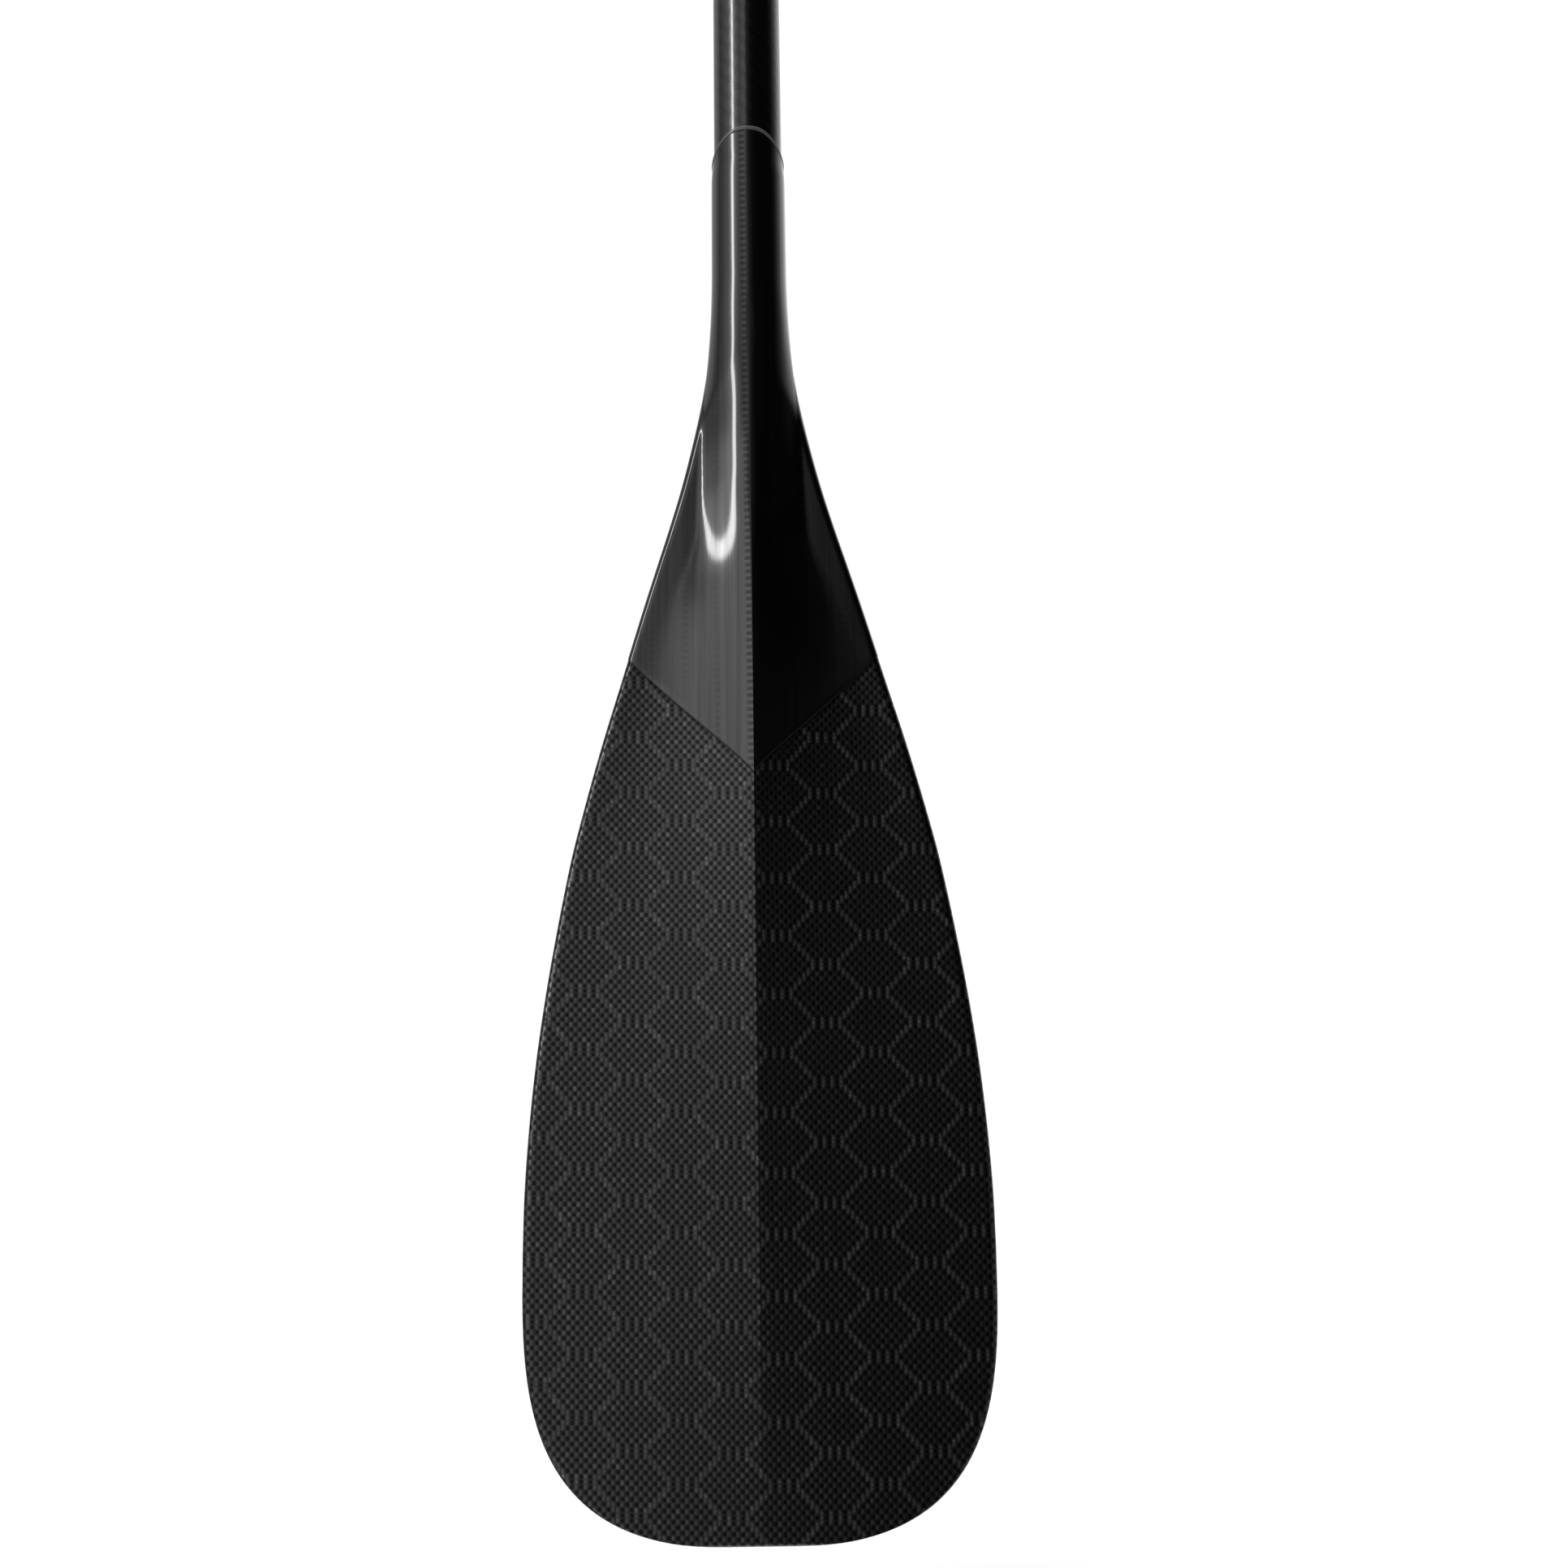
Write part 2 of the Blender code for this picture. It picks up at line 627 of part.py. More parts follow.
def make_index_ring(frame):
    """Feather ring: a flange above the collar and a skirt with a snap bead inside it."""
    bore = SHAFT_BORE
    skirt = RECESS_RADIUS - GAP
    bead = SNAP_RADIUS - GAP
    chamfer = 0.8
    low = GAP - RECESS_DEPTH
    points = [
        (bore, RING_TOP), (RING_RADIUS - chamfer, RING_TOP), (RING_RADIUS, RING_TOP - chamfer),
        (RING_RADIUS, 2 * GAP + 0.3), (RING_RADIUS - 0.6, GAP), (skirt, GAP),
        (skirt, -SNAP_HIGH - GAP - 0.4), (bead, -SNAP_HIGH - GAP - 0.8),
        (bead, -SNAP_LOW + GAP + 0.6), (skirt, -SNAP_LOW + GAP), (skirt, low), (bore, low),
    ]
    ring = turned("index_ring", points, LOOKS["accent"], closed=True, parent=frame)
    half = KEYWAY_WIDTH / 2 - GAP
    tooth = INSERT_RADIUS - KEYWAY_DEPTH + GAP
    key = box_cutter("index_key", (-half, -bore - 0.9, low + GAP), (half, -tooth, RING_TOP - GAP))
    combine(ring, key, "UNION")


def make_collar():
    """Split collar: a turned ring with two ears, slit between them and drilled for the screw."""
    low = -COLLAR_HEIGHT
    points = [
        (RECESS_RADIUS, 0), (COLLAR_RADIUS - 0.6, 0), (COLLAR_RADIUS, -0.6),
        (COLLAR_RADIUS, low + 1.5), (COLLAR_RADIUS - 1.5, low), (COLLAR_BORE, low),
        (COLLAR_BORE, -RECESS_DEPTH), (RECESS_RADIUS, -RECESS_DEPTH),
        (RECESS_RADIUS, -SNAP_LOW), (SNAP_RADIUS, -SNAP_LOW),
        (SNAP_RADIUS, -SNAP_HIGH), (RECESS_RADIUS, -SNAP_HIGH),
    ]
    collar = turned("clamp_collar", points, LOOKS["plastic"], closed=True)
    half = EAR_HEIGHT / 2
    ears = box_cutter(
        "collar_ears", (EAR_START, -EAR_FACE, BOLT_Z - half), (EAR_END, EAR_FACE, BOLT_Z + half)
    )
    split = box_cutter(
        "collar_split", (COLLAR_BORE - CLEAR, -SPLIT / 2, low - CLEAR),
        (EAR_END + CLEAR, SPLIT / 2, CLEAR),
    )
    hole = round_cutter(
        "collar_bolt_hole", BOLT_HOLE, (BOLT_X, 0, BOLT_Z), CUT_THROUGH, (0, 1, 0)
    )
    combine(collar, ears, "UNION")
    combine(collar, split, "DIFFERENCE")
    combine(collar, hole, "DIFFERENCE")


def polar(radius, degrees):
    angle = math.radians(degrees)
    return (radius * math.cos(angle), radius * math.sin(angle))


def lever_outline():
    """Plan of the lever: a handle that wraps the collar, a round cam, and a lifted finger tip."""
    outer_curve = smooth_curve([
        (-158, 26.0), (-145, 24.2), (-120, 23.4), (-90, 23.4), (-70, 24.2), (-56, 25.2),
    ])
    inner_curve = smooth_curve([
        (-158, 23.4), (-145, 20.6), (-120, 19.4), (-90, 19.3), (-70, 19.3), (-52, 19.9),
    ])
    outer = [polar(outer_curve(a), a) for a in range(-158, -55, 6)]
    inner = [polar(inner_curve(a), a) for a in range(-52, -159, -6)]
    cam = []
    for degrees in range(-95, 156, 25):
        x, y = polar(CAM_RADIUS, degrees)
        cam.append((BOLT_X + x, PIN_Y + CAM_OFFSET + y))
    return outer + cam + inner


def make_lever(frame):
    """The lever is an upright plate, forked round the screw and drilled for the barrel pin."""
    half = LEVER_HEIGHT / 2 * MM
    outline = [((x - BOLT_X) * MM, (y - PIN_Y) * MM) for x, y in lever_outline()]
    count = len(outline)
    points = [(x, y, -half) for x, y in outline] + [(x, y, half) for x, y in outline]
    faces = [tuple(range(count))[::-1], tuple(range(count, 2 * count))]
    for a in range(count):
        b = (a + 1) % count
        faces.append((a, b, b + count, a + count))
    lever = add(
        "clamp_lever", finish_mesh("clamp_lever", points, faces), LOOKS["accent"], parent=frame
    )
    fork = box_cutter(
        "lever_fork", (LEVER_FORK_START, PIN_Y - CUT_THROUGH, BOLT_Z - LEVER_FORK / 2),
        (EAR_END + CLEAR, 0, BOLT_Z + LEVER_FORK / 2),
    )
    hole = round_cutter(
        "lever_pin_hole", PIN_RADIUS + GAP, (BOLT_X, PIN_Y, BOLT_Z), CUT_THROUGH, (0, 0, 1)
    )
    combine(lever, fork, "DIFFERENCE")
    combine(lever, hole, "DIFFERENCE")


def make_clamp_hardware(pin_frame):
    """Barrel pin, tension screw, its washer and the cam's wear plate."""
    look = LOOKS["steel"]
    chamfer = 0.4
    pin = turned(
        "barrel_pin", rod_points(PIN_RADIUS, -PIN_LENGTH / 2, PIN_LENGTH / 2, chamfer), look,
        steps=SMALL_STEPS, parent=pin_frame,
    )
    cross_hole = round_cutter(
        "pin_cross_hole", BOLT_HOLE, (BOLT_X, PIN_Y, BOLT_Z), CUT_THROUGH, (0, 1, 0)
    )
    combine(pin, cross_hole, "DIFFERENCE")
    end = PIN_Y - PIN_RADIUS
    head_top = HEAD_SEAT + BOLT_HEAD
    screw = [
        (0, head_top), (BOLT_HEAD_RADIUS - chamfer, head_top),
        (BOLT_HEAD_RADIUS, head_top - chamfer), (BOLT_HEAD_RADIUS, HEAD_SEAT),
        (BOLT_RADIUS, HEAD_SEAT), (BOLT_RADIUS, end + chamfer), (BOLT_RADIUS - chamfer, end),
        (0, end),
    ]
    along_y = (-math.pi / 2, 0, 0)
    bolt = turned(
        "clamp_bolt", screw, look, steps=SMALL_STEPS, location=(0, -PIN_Y, 0), rotation=along_y,
        parent=pin_frame,
    )
    socket = round_cutter(
        "bolt_socket", SOCKET_SIZE, (BOLT_X, head_top, BOLT_Z), 2 * SOCKET_DEPTH, (0, 1, 0), steps=6
    )
    combine(bolt, socket, "DIFFERENCE")
    washer = [
        (BOLT_HOLE, WASHER_THICKNESS), (WASHER_RADIUS, WASHER_THICKNESS), (WASHER_RADIUS, 0),
        (BOLT_HOLE, 0),
    ]
    turned(
        "bolt_washer", washer, look, closed=True, steps=SMALL_STEPS,
        location=(BOLT_X, EAR_FACE + GAP, BOLT_Z), rotation=along_y,
    )
    half = PAD_HEIGHT / 2
    pad_mesh = box_mesh(
        "cam_pad", (PAD_START, -PAD_FACE, BOLT_Z - half), (EAR_END, -EAR_FACE - GAP, BOLT_Z + half)
    )
    pad = add("cam_pad", pad_mesh, look)
    pad_hole = round_cutter("pad_hole", BOLT_HOLE, (BOLT_X, 0, BOLT_Z), CUT_THROUGH, (0, 1, 0))
    combine(pad, pad_hole, "DIFFERENCE")


# ---- assembly ----

for old in list(bpy.data.objects):
    bpy.data.objects.remove(old)

PARTS = collection("kayak_paddle")
CUTTERS = collection("cutters")
LOOKS = {
    "weave": material("honeycomb_carbon", (0.045, 0.045, 0.045), 0.30),
    "neck": material("unidirectional_carbon", (0.030, 0.030, 0.030), 0.18),
    "shaft": material("woven_shaft_carbon", (0.035, 0.035, 0.035), 0.22),
    "spar": material("moulded_spar", (0.05, 0.05, 0.05), 0.50),
    "foam": material("closed_cell_foam", (0.80, 0.78, 0.70), 0.90),
    "resin": material("seam_resin", (0.12, 0.12, 0.12), 0.25),
    "rubber": material("black_rubber", (0.020, 0.020, 0.020), 0.65),
    "ferrule": material("ferrule_carbon", (0.028, 0.028, 0.028), 0.30),
    "plastic": material("black_nylon", (0.018, 0.018, 0.018), 0.45),
    "accent": material("grey_nylon", (0.060, 0.060, 0.062), 0.42),
    "steel": material("stainless_steel", (0.55, 0.55, 0.54), 0.28, 1.0),
}

left_half = frame_at("left_half_frame", (0, 0, 0))
ring_frame = frame_at("index_ring_frame", (0, 0, 0))
pin_frame = frame_at("cam_pin_frame", (BOLT_X, PIN_Y, BOLT_Z))
right_blade = frame_at("right_blade_frame", (0, 0, -HALF_LENGTH))
left_blade = frame_at("left_blade_frame", (0, 0, HALF_LENGTH), (0, math.pi, 0), left_half)

shared_meshes = blade_meshes()
make_blade("right", shared_meshes, right_blade)
make_blade("left", shared_meshes, left_blade)
make_shafts(left_half)
make_drip_ring("right_drip_ring", -DRIP_RING_HEIGHT)
make_drip_ring("left_drip_ring", DRIP_RING_HEIGHT, rotation=(math.pi, 0, 0), parent=left_half)
make_insert(left_half)
make_index_ring(ring_frame)
make_collar()
make_lever(pin_frame)
make_clamp_hardware(pin_frame)
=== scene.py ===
"""Looks of a two-bladed carbon kayak paddle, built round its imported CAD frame.

Lengths are in millimetres in the row frame until a mesh is made. +Z runs along the shaft from the
right blade's tip to the left blade's, and -Y is the ridged side of both blades. A blade's own
frame has its tip at zero and counts the distance from there.
"""

import math
from collections import namedtuple

import bmesh
import bpy
import numpy as np
from mathutils import Matrix, Vector


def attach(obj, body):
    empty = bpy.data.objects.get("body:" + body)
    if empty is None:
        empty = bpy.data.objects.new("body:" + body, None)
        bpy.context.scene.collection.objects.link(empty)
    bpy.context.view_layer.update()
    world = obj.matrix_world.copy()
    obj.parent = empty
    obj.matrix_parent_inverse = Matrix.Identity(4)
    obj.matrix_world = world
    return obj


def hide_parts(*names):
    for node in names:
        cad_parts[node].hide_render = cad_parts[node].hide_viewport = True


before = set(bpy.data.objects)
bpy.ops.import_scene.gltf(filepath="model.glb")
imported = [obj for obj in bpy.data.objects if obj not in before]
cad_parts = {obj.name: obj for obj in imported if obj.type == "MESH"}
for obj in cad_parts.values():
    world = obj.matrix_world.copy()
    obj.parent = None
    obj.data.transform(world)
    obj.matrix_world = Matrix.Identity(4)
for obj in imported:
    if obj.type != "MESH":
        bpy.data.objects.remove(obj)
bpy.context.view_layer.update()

MM = 0.001
HALF_LENGTH = 1100.0
SHAFT_RADIUS = 14.5

# Blade, as in the CAD, measured from its tip
TIP_LENGTH = 105.0
TIP_HALF_WIDTH = 89.1
TIP_ACROSS = 2.95
TIP_ALONG = 3.2
NECK_END = 560.0
WRAP_POINT = 285.5
WRAP_SIDE = 333.8
WRAP_BEND = 0.84  # how straight the V is: 1 follows the blade's outline
ARCH_START = 500.0  # from here the wrap is arched: its upper edge is highest at the centre
ARCH_DROP = 9.0
ARCH_BEND = 2.8
CORE_END = 400.0
SKIN = 1.2
GAP = 0.3
SOCKET_RADIUS = 14.85
SOCKET_START = 484.0
SOCKET_BLEND = 452.0
SCOOP = 8.0
SCOOP_START = 430.0
SEAM = 0.02  # half the joint between the two sides
WRAP_LIFT = 0.22  # the neck wrap lies on the blade's cloth

OUTLINE = [
    (105.0, 89.1), (120.0, 88.9), (131.0, 88.5), (146.0, 87.6), (161.0, 86.4), (176.5, 84.8),
    (192.0, 82.8), (207.5, 80.5), (223.0, 77.9), (239.0, 75.0), (255.0, 71.8), (271.0, 67.9),
    (287.5, 63.6), (304.0, 59.0), (320.5, 54.1), (337.5, 49.1), (354.5, 44.1), (371.5, 38.9),
    (389.0, 33.5), (406.5, 28.5), (424.5, 24.1), (435.0, 21.8), (442.5, 20.3), (450.0, 19.0),
    (457.0, 18.0), (471.5, 16.75), (486.5, 16.0), (501.5, 15.7), (531.5, 15.65), (544.0, 15.6),
    (551.0, 15.3), (560.0, 15.25),
]
Side = namedtuple("Side", "height plate foot crest skirt edge")
FRONT = {
    0.0: Side(3.2, 2.5, 88.0, 1.2, 1.6, 2.5),
    95.0: Side(4.7, 2.6, 88.0, 1.05, 1.9, 2.5),
    141.0: Side(5.3, 2.7, 84.0, 1.05, 2.0, 2.5),
    188.0: Side(6.0, 2.8, 76.5, 1.05, 2.0, 2.5),
    238.5: Side(6.8, 2.9, 66.4, 1.05, 2.0, 2.5),
    290.5: Side(7.8, 3.0, 54.0, 1.05, 1.9, 2.5),
    353.0: Side(10.0, 3.1, 34.8, 1.25, 1.75, 2.8),
    386.0: Side(11.9, 3.2, 22.6, 1.65, 1.65, 3.0),
    406.0: Side(14.0, 3.4, 21.2, 2.0, 1.55, 3.2),
    426.0: Side(15.2, 3.8, 20.2, 2.0, 1.3, 3.2),
    440.0: Side(15.5, 4.3, 19.2, 2.0, 1.2, 5.0),
    452.0: Side(15.65, 4.9, 18.4, 2.0, 1.05, 10.5),
    486.5: Side(16.0, 8.0, 16.0, 2.0, 0.5, 16.0),
    501.5: Side(15.7, 8.0, 15.7, 2.0, 0.5, 15.7),
    544.0: Side(15.6, 8.0, 15.6, 2.0, 0.5, 15.6),
    551.0: Side(15.3, 8.0, 15.3, 2.0, 0.5, 15.3),
    560.0: Side(15.25, 8.0, 15.25, 2.0, 0.5, 15.25),
}
BACK = {
    0.0: Side(2.4, 2.4, 88.0, 2.0, 2.0, 6.0),
    188.0: Side(2.6, 2.4, 76.5, 2.0, 2.0, 6.0),
    250.0: Side(3.1, 2.6, 66.5, 2.0, 2.0, 6.0),
    290.5: Side(4.4, 2.7, 54.0, 2.0, 2.0, 6.0),
    344.0: Side(7.9, 2.9, 42.0, 2.0, 2.0, 7.3),
    374.5: Side(10.7, 3.1, 33.3, 2.0, 2.0, 8.3),
    399.0: Side(12.7, 3.4, 28.0, 2.0, 1.7, 9.3),
    421.0: Side(14.1, 3.8, 23.5, 2.0, 1.3, 10.3),
    450.0: Side(15.4, 4.8, 18.7, 2.0, 0.75, 13.2),
    486.5: Side(16.0, 8.0, 16.0, 2.0, 0.5, 16.0),
    501.5: Side(15.7, 8.0, 15.7, 2.0, 0.5, 15.7),
    544.0: Side(15.6, 8.0, 15.6, 2.0, 0.5, 15.6),
    551.0: Side(15.3, 8.0, 15.3, 2.0, 0.5, 15.3),
    560.0: Side(15.25, 8.0, 15.25, 2.0, 0.5, 15.25),
}

# Shaft and ferrule, as in the CAD, measured from the paddle's middle
SHAFT_BORE = 13.1
TUBE_START = 612.0
RIGHT_TUBE_TOP = -11.9
LEFT_TUBE_LOW = 8.6
SLIT_LENGTH = 36.0
DRIP_RING_HEIGHT = 350.0
INSERT_RADIUS, INSERT_BORE = 12.8, 10.8
INSERT_LOW, INSERT_HIGH = -180.0, 78.0
BOLT_X, BOLT_Z, PIN_Y = 23.5, -17.0, -14.75
BOLT_HOLE = 2.3
PIN_HOLE = 3.3
FORK_HALF = 3.3
TURN_X = Matrix.Rotation(math.pi, 4, "X")
ALONG_Y = Matrix.Rotation(-math.pi / 2, 4, "X")

# Cloth
WARP_PITCH = 1.69
WEFT_PITCH = 1.855
HEX_COLUMNS = 11  # warps from one column of hexagons to the next
HEX_ROWS = 12  # wefts from one hexagon to the next above it
HEX_REACH = 7  # from a hexagon's middle to the last dark float in its widest row
HEX_FLAT = 2  # the same where it is narrowest
CLOTH_SHIFT = 8.25, 10.3  # a hexagon's middle, across and along
CLOTH_BOW = 0.018  # how far the wefts sag to the ridge
CLOTH_SKEW = 0.018  # how far they drop to the right

# Neck wrap
TAPE_WIDTH = 13.0  # from one column of stitches to the next
TAPE_SHIFT = 6.0
TAPE_SLANT = 0.005
STITCH_PITCH = 2.8
STITCH_REACH = 4.0  # from the ridge to the furthest stitch that shows in full

# Tubes
TWILL_TOWS = 46  # tows round a tube
TWILL_PITCH = 2.0
SCALE_PITCH = 10.0
SCALE_ANGLE = math.radians(62)
SCALE_MIDDLE, SCALE_REACH = 45.0, 52.0  # below the paddle's middle, and half the scale's length


# ---- node graphs ----

class Graph:
    """Makes shader nodes from expressions. A value is a number or another node's output."""

    def __init__(self, tree):
        self.tree = tree

    def node(self, kind, **settings):
        made = self.tree.nodes.new("ShaderNode" + kind)
        for key, value in settings.items():
            setattr(made, key, value)
        return made

    def put(self, socket, value):
        if isinstance(value, bpy.types.NodeSocket):
            self.tree.links.new(value, socket)
        else:
            socket.default_value = value

    def math(self, operation, *values):
        made = self.node("Math", operation=operation)
        for socket, value in zip(made.inputs, values):
            self.put(socket, value)
        return made.outputs[0]

    def add(self, *values):
        total = values[0]
        for value in values[1:]:
            total = self.math("ADD", total, value)
        return total

    def times(self, *values):
        total = values[0]
        for value in values[1:]:
            total = self.math("MULTIPLY", total, value)
        return total

    def less(self, value, limit):
        return self.math("LESS_THAN", value, limit)

    def step(self, value, start, end, low=0.0, high=1.0):
        """Eases from low to high as the value goes from start to end."""
        made = self.node("MapRange", interpolation_type="SMOOTHSTEP")
        for socket, number in zip(made.inputs, (value, start, end, low, high)):
            self.put(socket, number)
        return made.outputs[0]

    def mix(self, share, low, high):
        made = self.node("Mix", data_type="FLOAT")
        for index, value in ((0, share), (2, low), (3, high)):
            self.put(made.inputs[index], value)
        return made.outputs[0]

    def tint(self, share, low, high):
        made = self.node("Mix", data_type="RGBA")
        self.put(made.inputs[0], share)
        self.put(made.inputs[6], (*low, 1.0) if isinstance(low, tuple) else low)
        self.put(made.inputs[7], (*high, 1.0) if isinstance(high, tuple) else high)
        return made.outputs[2]

    def vector(self, *parts):
        made = self.node("CombineXYZ")
        for socket, value in zip(made.inputs, parts):
            self.put(socket, value)
        return made.outputs[0]

    def split(self, vector):
        made = self.node("SeparateXYZ")
        self.put(made.inputs[0], vector)
        return made.outputs

    def noise(self, vector, scale=1.0, detail=2.0, roughness=0.5):
        made = self.node("TexNoise")
        for name, value in (
            ("Vector", vector), ("Scale", scale), ("Detail", detail), ("Roughness", roughness),
        ):
            self.put(made.inputs[name], value)
        return made.outputs["Fac"]

    def chance(self, value):
        """A random number from 0 to 1 for each different value."""
        made = self.node("TexWhiteNoise", noise_dimensions="1D")
        self.put(made.inputs["W"], value)
        return made.outputs["Value"]

    def cloth(self):
        """Place on the cloth in mm: across, along, and from the edge of the neck wrap."""
        return self.split(self.node("Attribute", attribute_name="cloth").outputs["Vector"])

    def place(self):
        """Place in the row frame, in mm."""
        made = self.node("VectorMath", operation="SCALE")
        self.put(made.inputs[0], self.node("TexCoord").outputs["Object"])
        made.inputs["Scale"].default_value = 1 / MM
        return made.outputs[0]

    def bump(self, height, depth, strength=1.0):
        """A normal from a height of 0 to 1 that stands for depth in mm."""
        made = self.node("Bump")
        made.inputs["Strength"].default_value = strength
        made.inputs["Distance"].default_value = depth * MM
        self.put(made.inputs["Height"], height)
        return made.outputs["Normal"]


def material(name, metallic=0.0, roughness=0.5, coat=0.0, coat_roughness=0.1):
    """A new material, its graph, and its shader with what is the same all over the surface."""
    made = bpy.data.materials.new(name)
    made.use_nodes = True
    shader = made.node_tree.nodes["Principled BSDF"]
    shader.inputs["Metallic"].default_value = metallic
    shader.inputs["Roughness"].default_value = roughness
    shader.inputs["Coat Weight"].default_value = coat
    shader.inputs["Coat Roughness"].default_value = coat_roughness
    return made, Graph(made.node_tree), shader


def floats(g, column, row):
    """1 where a dark float shows in the hexagons centred on column 0, row 0."""
    u = g.math("ABSOLUTE", g.math("WRAP", column, HEX_COLUMNS, -HEX_COLUMNS))
    v = g.math("ABSOLUTE", g.math("WRAP", row, HEX_ROWS / 2, -HEX_ROWS / 2))
    reach = g.math("MAXIMUM", g.add(HEX_REACH, g.times(v, -1.0)), HEX_FLAT)
    inside = g.less(u, g.add(reach, 0.5))
    return g.times(inside, g.less(odd(g, g.add(u, reach)), 0.5))


def odd(g, value):
    return g.math("FLOORED_MODULO", value, 2.0)


def weft_over(g, column, row):
    """1 where the weft lies over the warp, in either set of hexagons."""
    between = floats(g, g.add(column, HEX_COLUMNS), g.add(row, HEX_ROWS / 2))
    return g.math("MAXIMUM", floats(g, column, row), between)


def make_weave():
    """Plain-woven carbon whose floats change places along the outlines of hexagons. Its light warps
    and dark wefts are painted sheen and shade.
    """
    made, g, shader = material("honeycomb_carbon", 1.0, 0.24, 0.3, 0.12)
    across, along, edge = g.cloth()
    bow = g.times(g.math("ABSOLUTE", across), -CLOTH_BOW)
    bowed = g.add(along, bow, g.times(across, CLOTH_SKEW))
    warps = g.add(g.times(across, 1 / WARP_PITCH), 0.5 - CLOTH_SHIFT[0] / WARP_PITCH)
    wefts = g.add(g.times(bowed, 1 / WEFT_PITCH), 0.5 - CLOTH_SHIFT[1] / WEFT_PITCH)
    column = g.math("FLOOR", warps)
    row = g.math("FLOOR", wefts)
    x = g.add(g.math("FRACT", warps), -0.5)
    y = g.add(g.math("FRACT", wefts), -0.5)
    weft_up = weft_over(g, column, row)
    warp = g.math("SUBTRACT", 1.0, weft_up)
    above, below = weft_over(g, column, g.add(row, 1)), weft_over(g, column, g.add(row, -1))
    long = g.times(warp, g.math("SUBTRACT", 1.0, g.times(above, below)))

    round_x = g.add(1.0, g.times(x, x, -4.0))
    round_y = g.add(1.0, g.times(y, y, -4.0))
    from_middle = g.add(y, g.times(below, -0.5), g.times(above, 0.5))
    swell = g.math("MAXIMUM", g.add(1.0, g.times(from_middle, from_middle, -1 / 0.72 ** 2)), 0.0)
    line = g.times(long, round_x, swell)
    spot = g.add(g.times(x, x, 1 / 0.40 ** 2), g.times(y, y, 1 / 0.44 ** 2))
    # Painted shade: the weft floats are dark spots, as the crosswise fibres send little of the side
    # light back.
    dark = g.times(g.step(spot, 1.25, 0.45), weft_up)
    crown = g.times(warp, round_x, g.math("SQRT", round_y))

    tow = g.chance(column)
    drift = g.noise(g.vector(g.times(column, 0.7), g.times(along, 0.06), 0.0), detail=1.0)
    fibre = g.noise(g.vector(g.times(across, 4.0), g.times(along, 0.25), 0.0), detail=2.0)
    # Painted sheen and painted glints on the warps' crowns, stronger on some tows and floats at
    # random.
    painted_sheen = g.add(0.45, g.times(tow, 0.4), g.times(drift, 0.9), g.times(fibre, 0.3))
    painted_glint = g.math("POWER", g.chance(g.add(g.times(column, 13.7), row)), 6.0)
    bright = g.times(crown, g.add(painted_sheen, g.times(painted_glint, 1.6)), 0.050)
    # Painted sheen: the warps are lighter than the wefts, their long floats a little lighter still.
    light = g.add(0.046, g.times(line, 0.01), bright)
    # Painted shadow: the cloth is darker in a thin line just below the neck wrap's raised edge.
    wrap_edge_shade = g.step(g.math("ABSOLUTE", g.add(edge, -0.4)), 0.0, 1.1, 0.35, 1.0)
    base = g.times(g.mix(dark, light, 0.011), wrap_edge_shade)
    # Painted shade tint: the dark weft spots are given the slight blue of deep shade.
    shade_tint = g.tint(dark, (1.0, 1.0, 1.0), (0.92, 0.96, 1.1))
    tinted = g.node("VectorMath", operation="SCALE")
    g.put(tinted.inputs[0], shade_tint)
    g.put(tinted.inputs["Scale"], base)
    g.put(shader.inputs["Base Color"], tinted.outputs[0])
    shiny = g.mix(line, g.add(0.19, g.times(drift, 0.08)), 0.44)
    g.put(shader.inputs["Roughness"], g.mix(dark, shiny, 0.30))
    weft_crown = g.times(weft_up, round_y, 0.6)
    g.put(shader.inputs["Normal"], g.bump(g.add(crown, weft_crown), 0.03))
    return made


def make_neck():
    """Unidirectional carbon tape under gloss: fine streaks, and stitches between the tapes."""
    made, g, shader = material("unidirectional_carbon", 1.0, 0.14, 0.5, 0.04)
    across, along, edge = g.cloth()
    slow = g.times(along, 0.012)
    fine = g.noise(g.vector(g.times(across, 2.6), slow, 0.0), detail=3.0, roughness=0.6)
    broad = g.noise(g.vector(g.times(across, 0.45), g.times(along, 0.006), 5.0), detail=1.0)
    slanted = g.add(across, g.times(along, TAPE_SLANT), TAPE_SHIFT)
    tape = g.add(g.math("FRACT", g.times(slanted, 1 / TAPE_WIDTH)), -0.5)
    off = g.times(g.math("ABSOLUTE", tape), TAPE_WIDTH)
    stitch = g.add(g.math("FRACT", g.times(along, 1 / STITCH_PITCH)), -0.5)
    dash = g.step(g.math("ABSOLUTE", stitch), 0.30, 0.16)
    patch = g.step(g.noise(g.vector(g.times(across, 0.08), slow, 2.0)), 0.42, 0.55)
    ridge = g.less(g.math("ABSOLUTE", across), STITCH_REACH)
    gap = g.times(g.step(off, 1.7, 0.7), g.math("MAXIMUM", g.times(patch, 0.25), ridge))
    streak = g.add(0.22, g.times(fine, 0.65), g.times(broad, 1.0))
    base = g.times(streak, 0.082, g.add(1.0, g.times(gap, g.mix(dash, -0.5, 0.1))))
    # Painted shadow: the tape is darker along the first 0.8 mm above its lower edge, where it steps
    # up from the blade.
    rim = g.step(edge, 0.0, 0.8, 0.5, 1.0)
    g.put(shader.inputs["Base Color"], g.times(base, rim))
    g.put(shader.inputs["Roughness"], g.add(0.06, g.times(fine, 0.06)))
    relief = g.add(g.times(fine, 0.5), g.times(gap, dash, 0.6))
    g.put(shader.inputs["Normal"], g.bump(relief, 0.012))
    return made


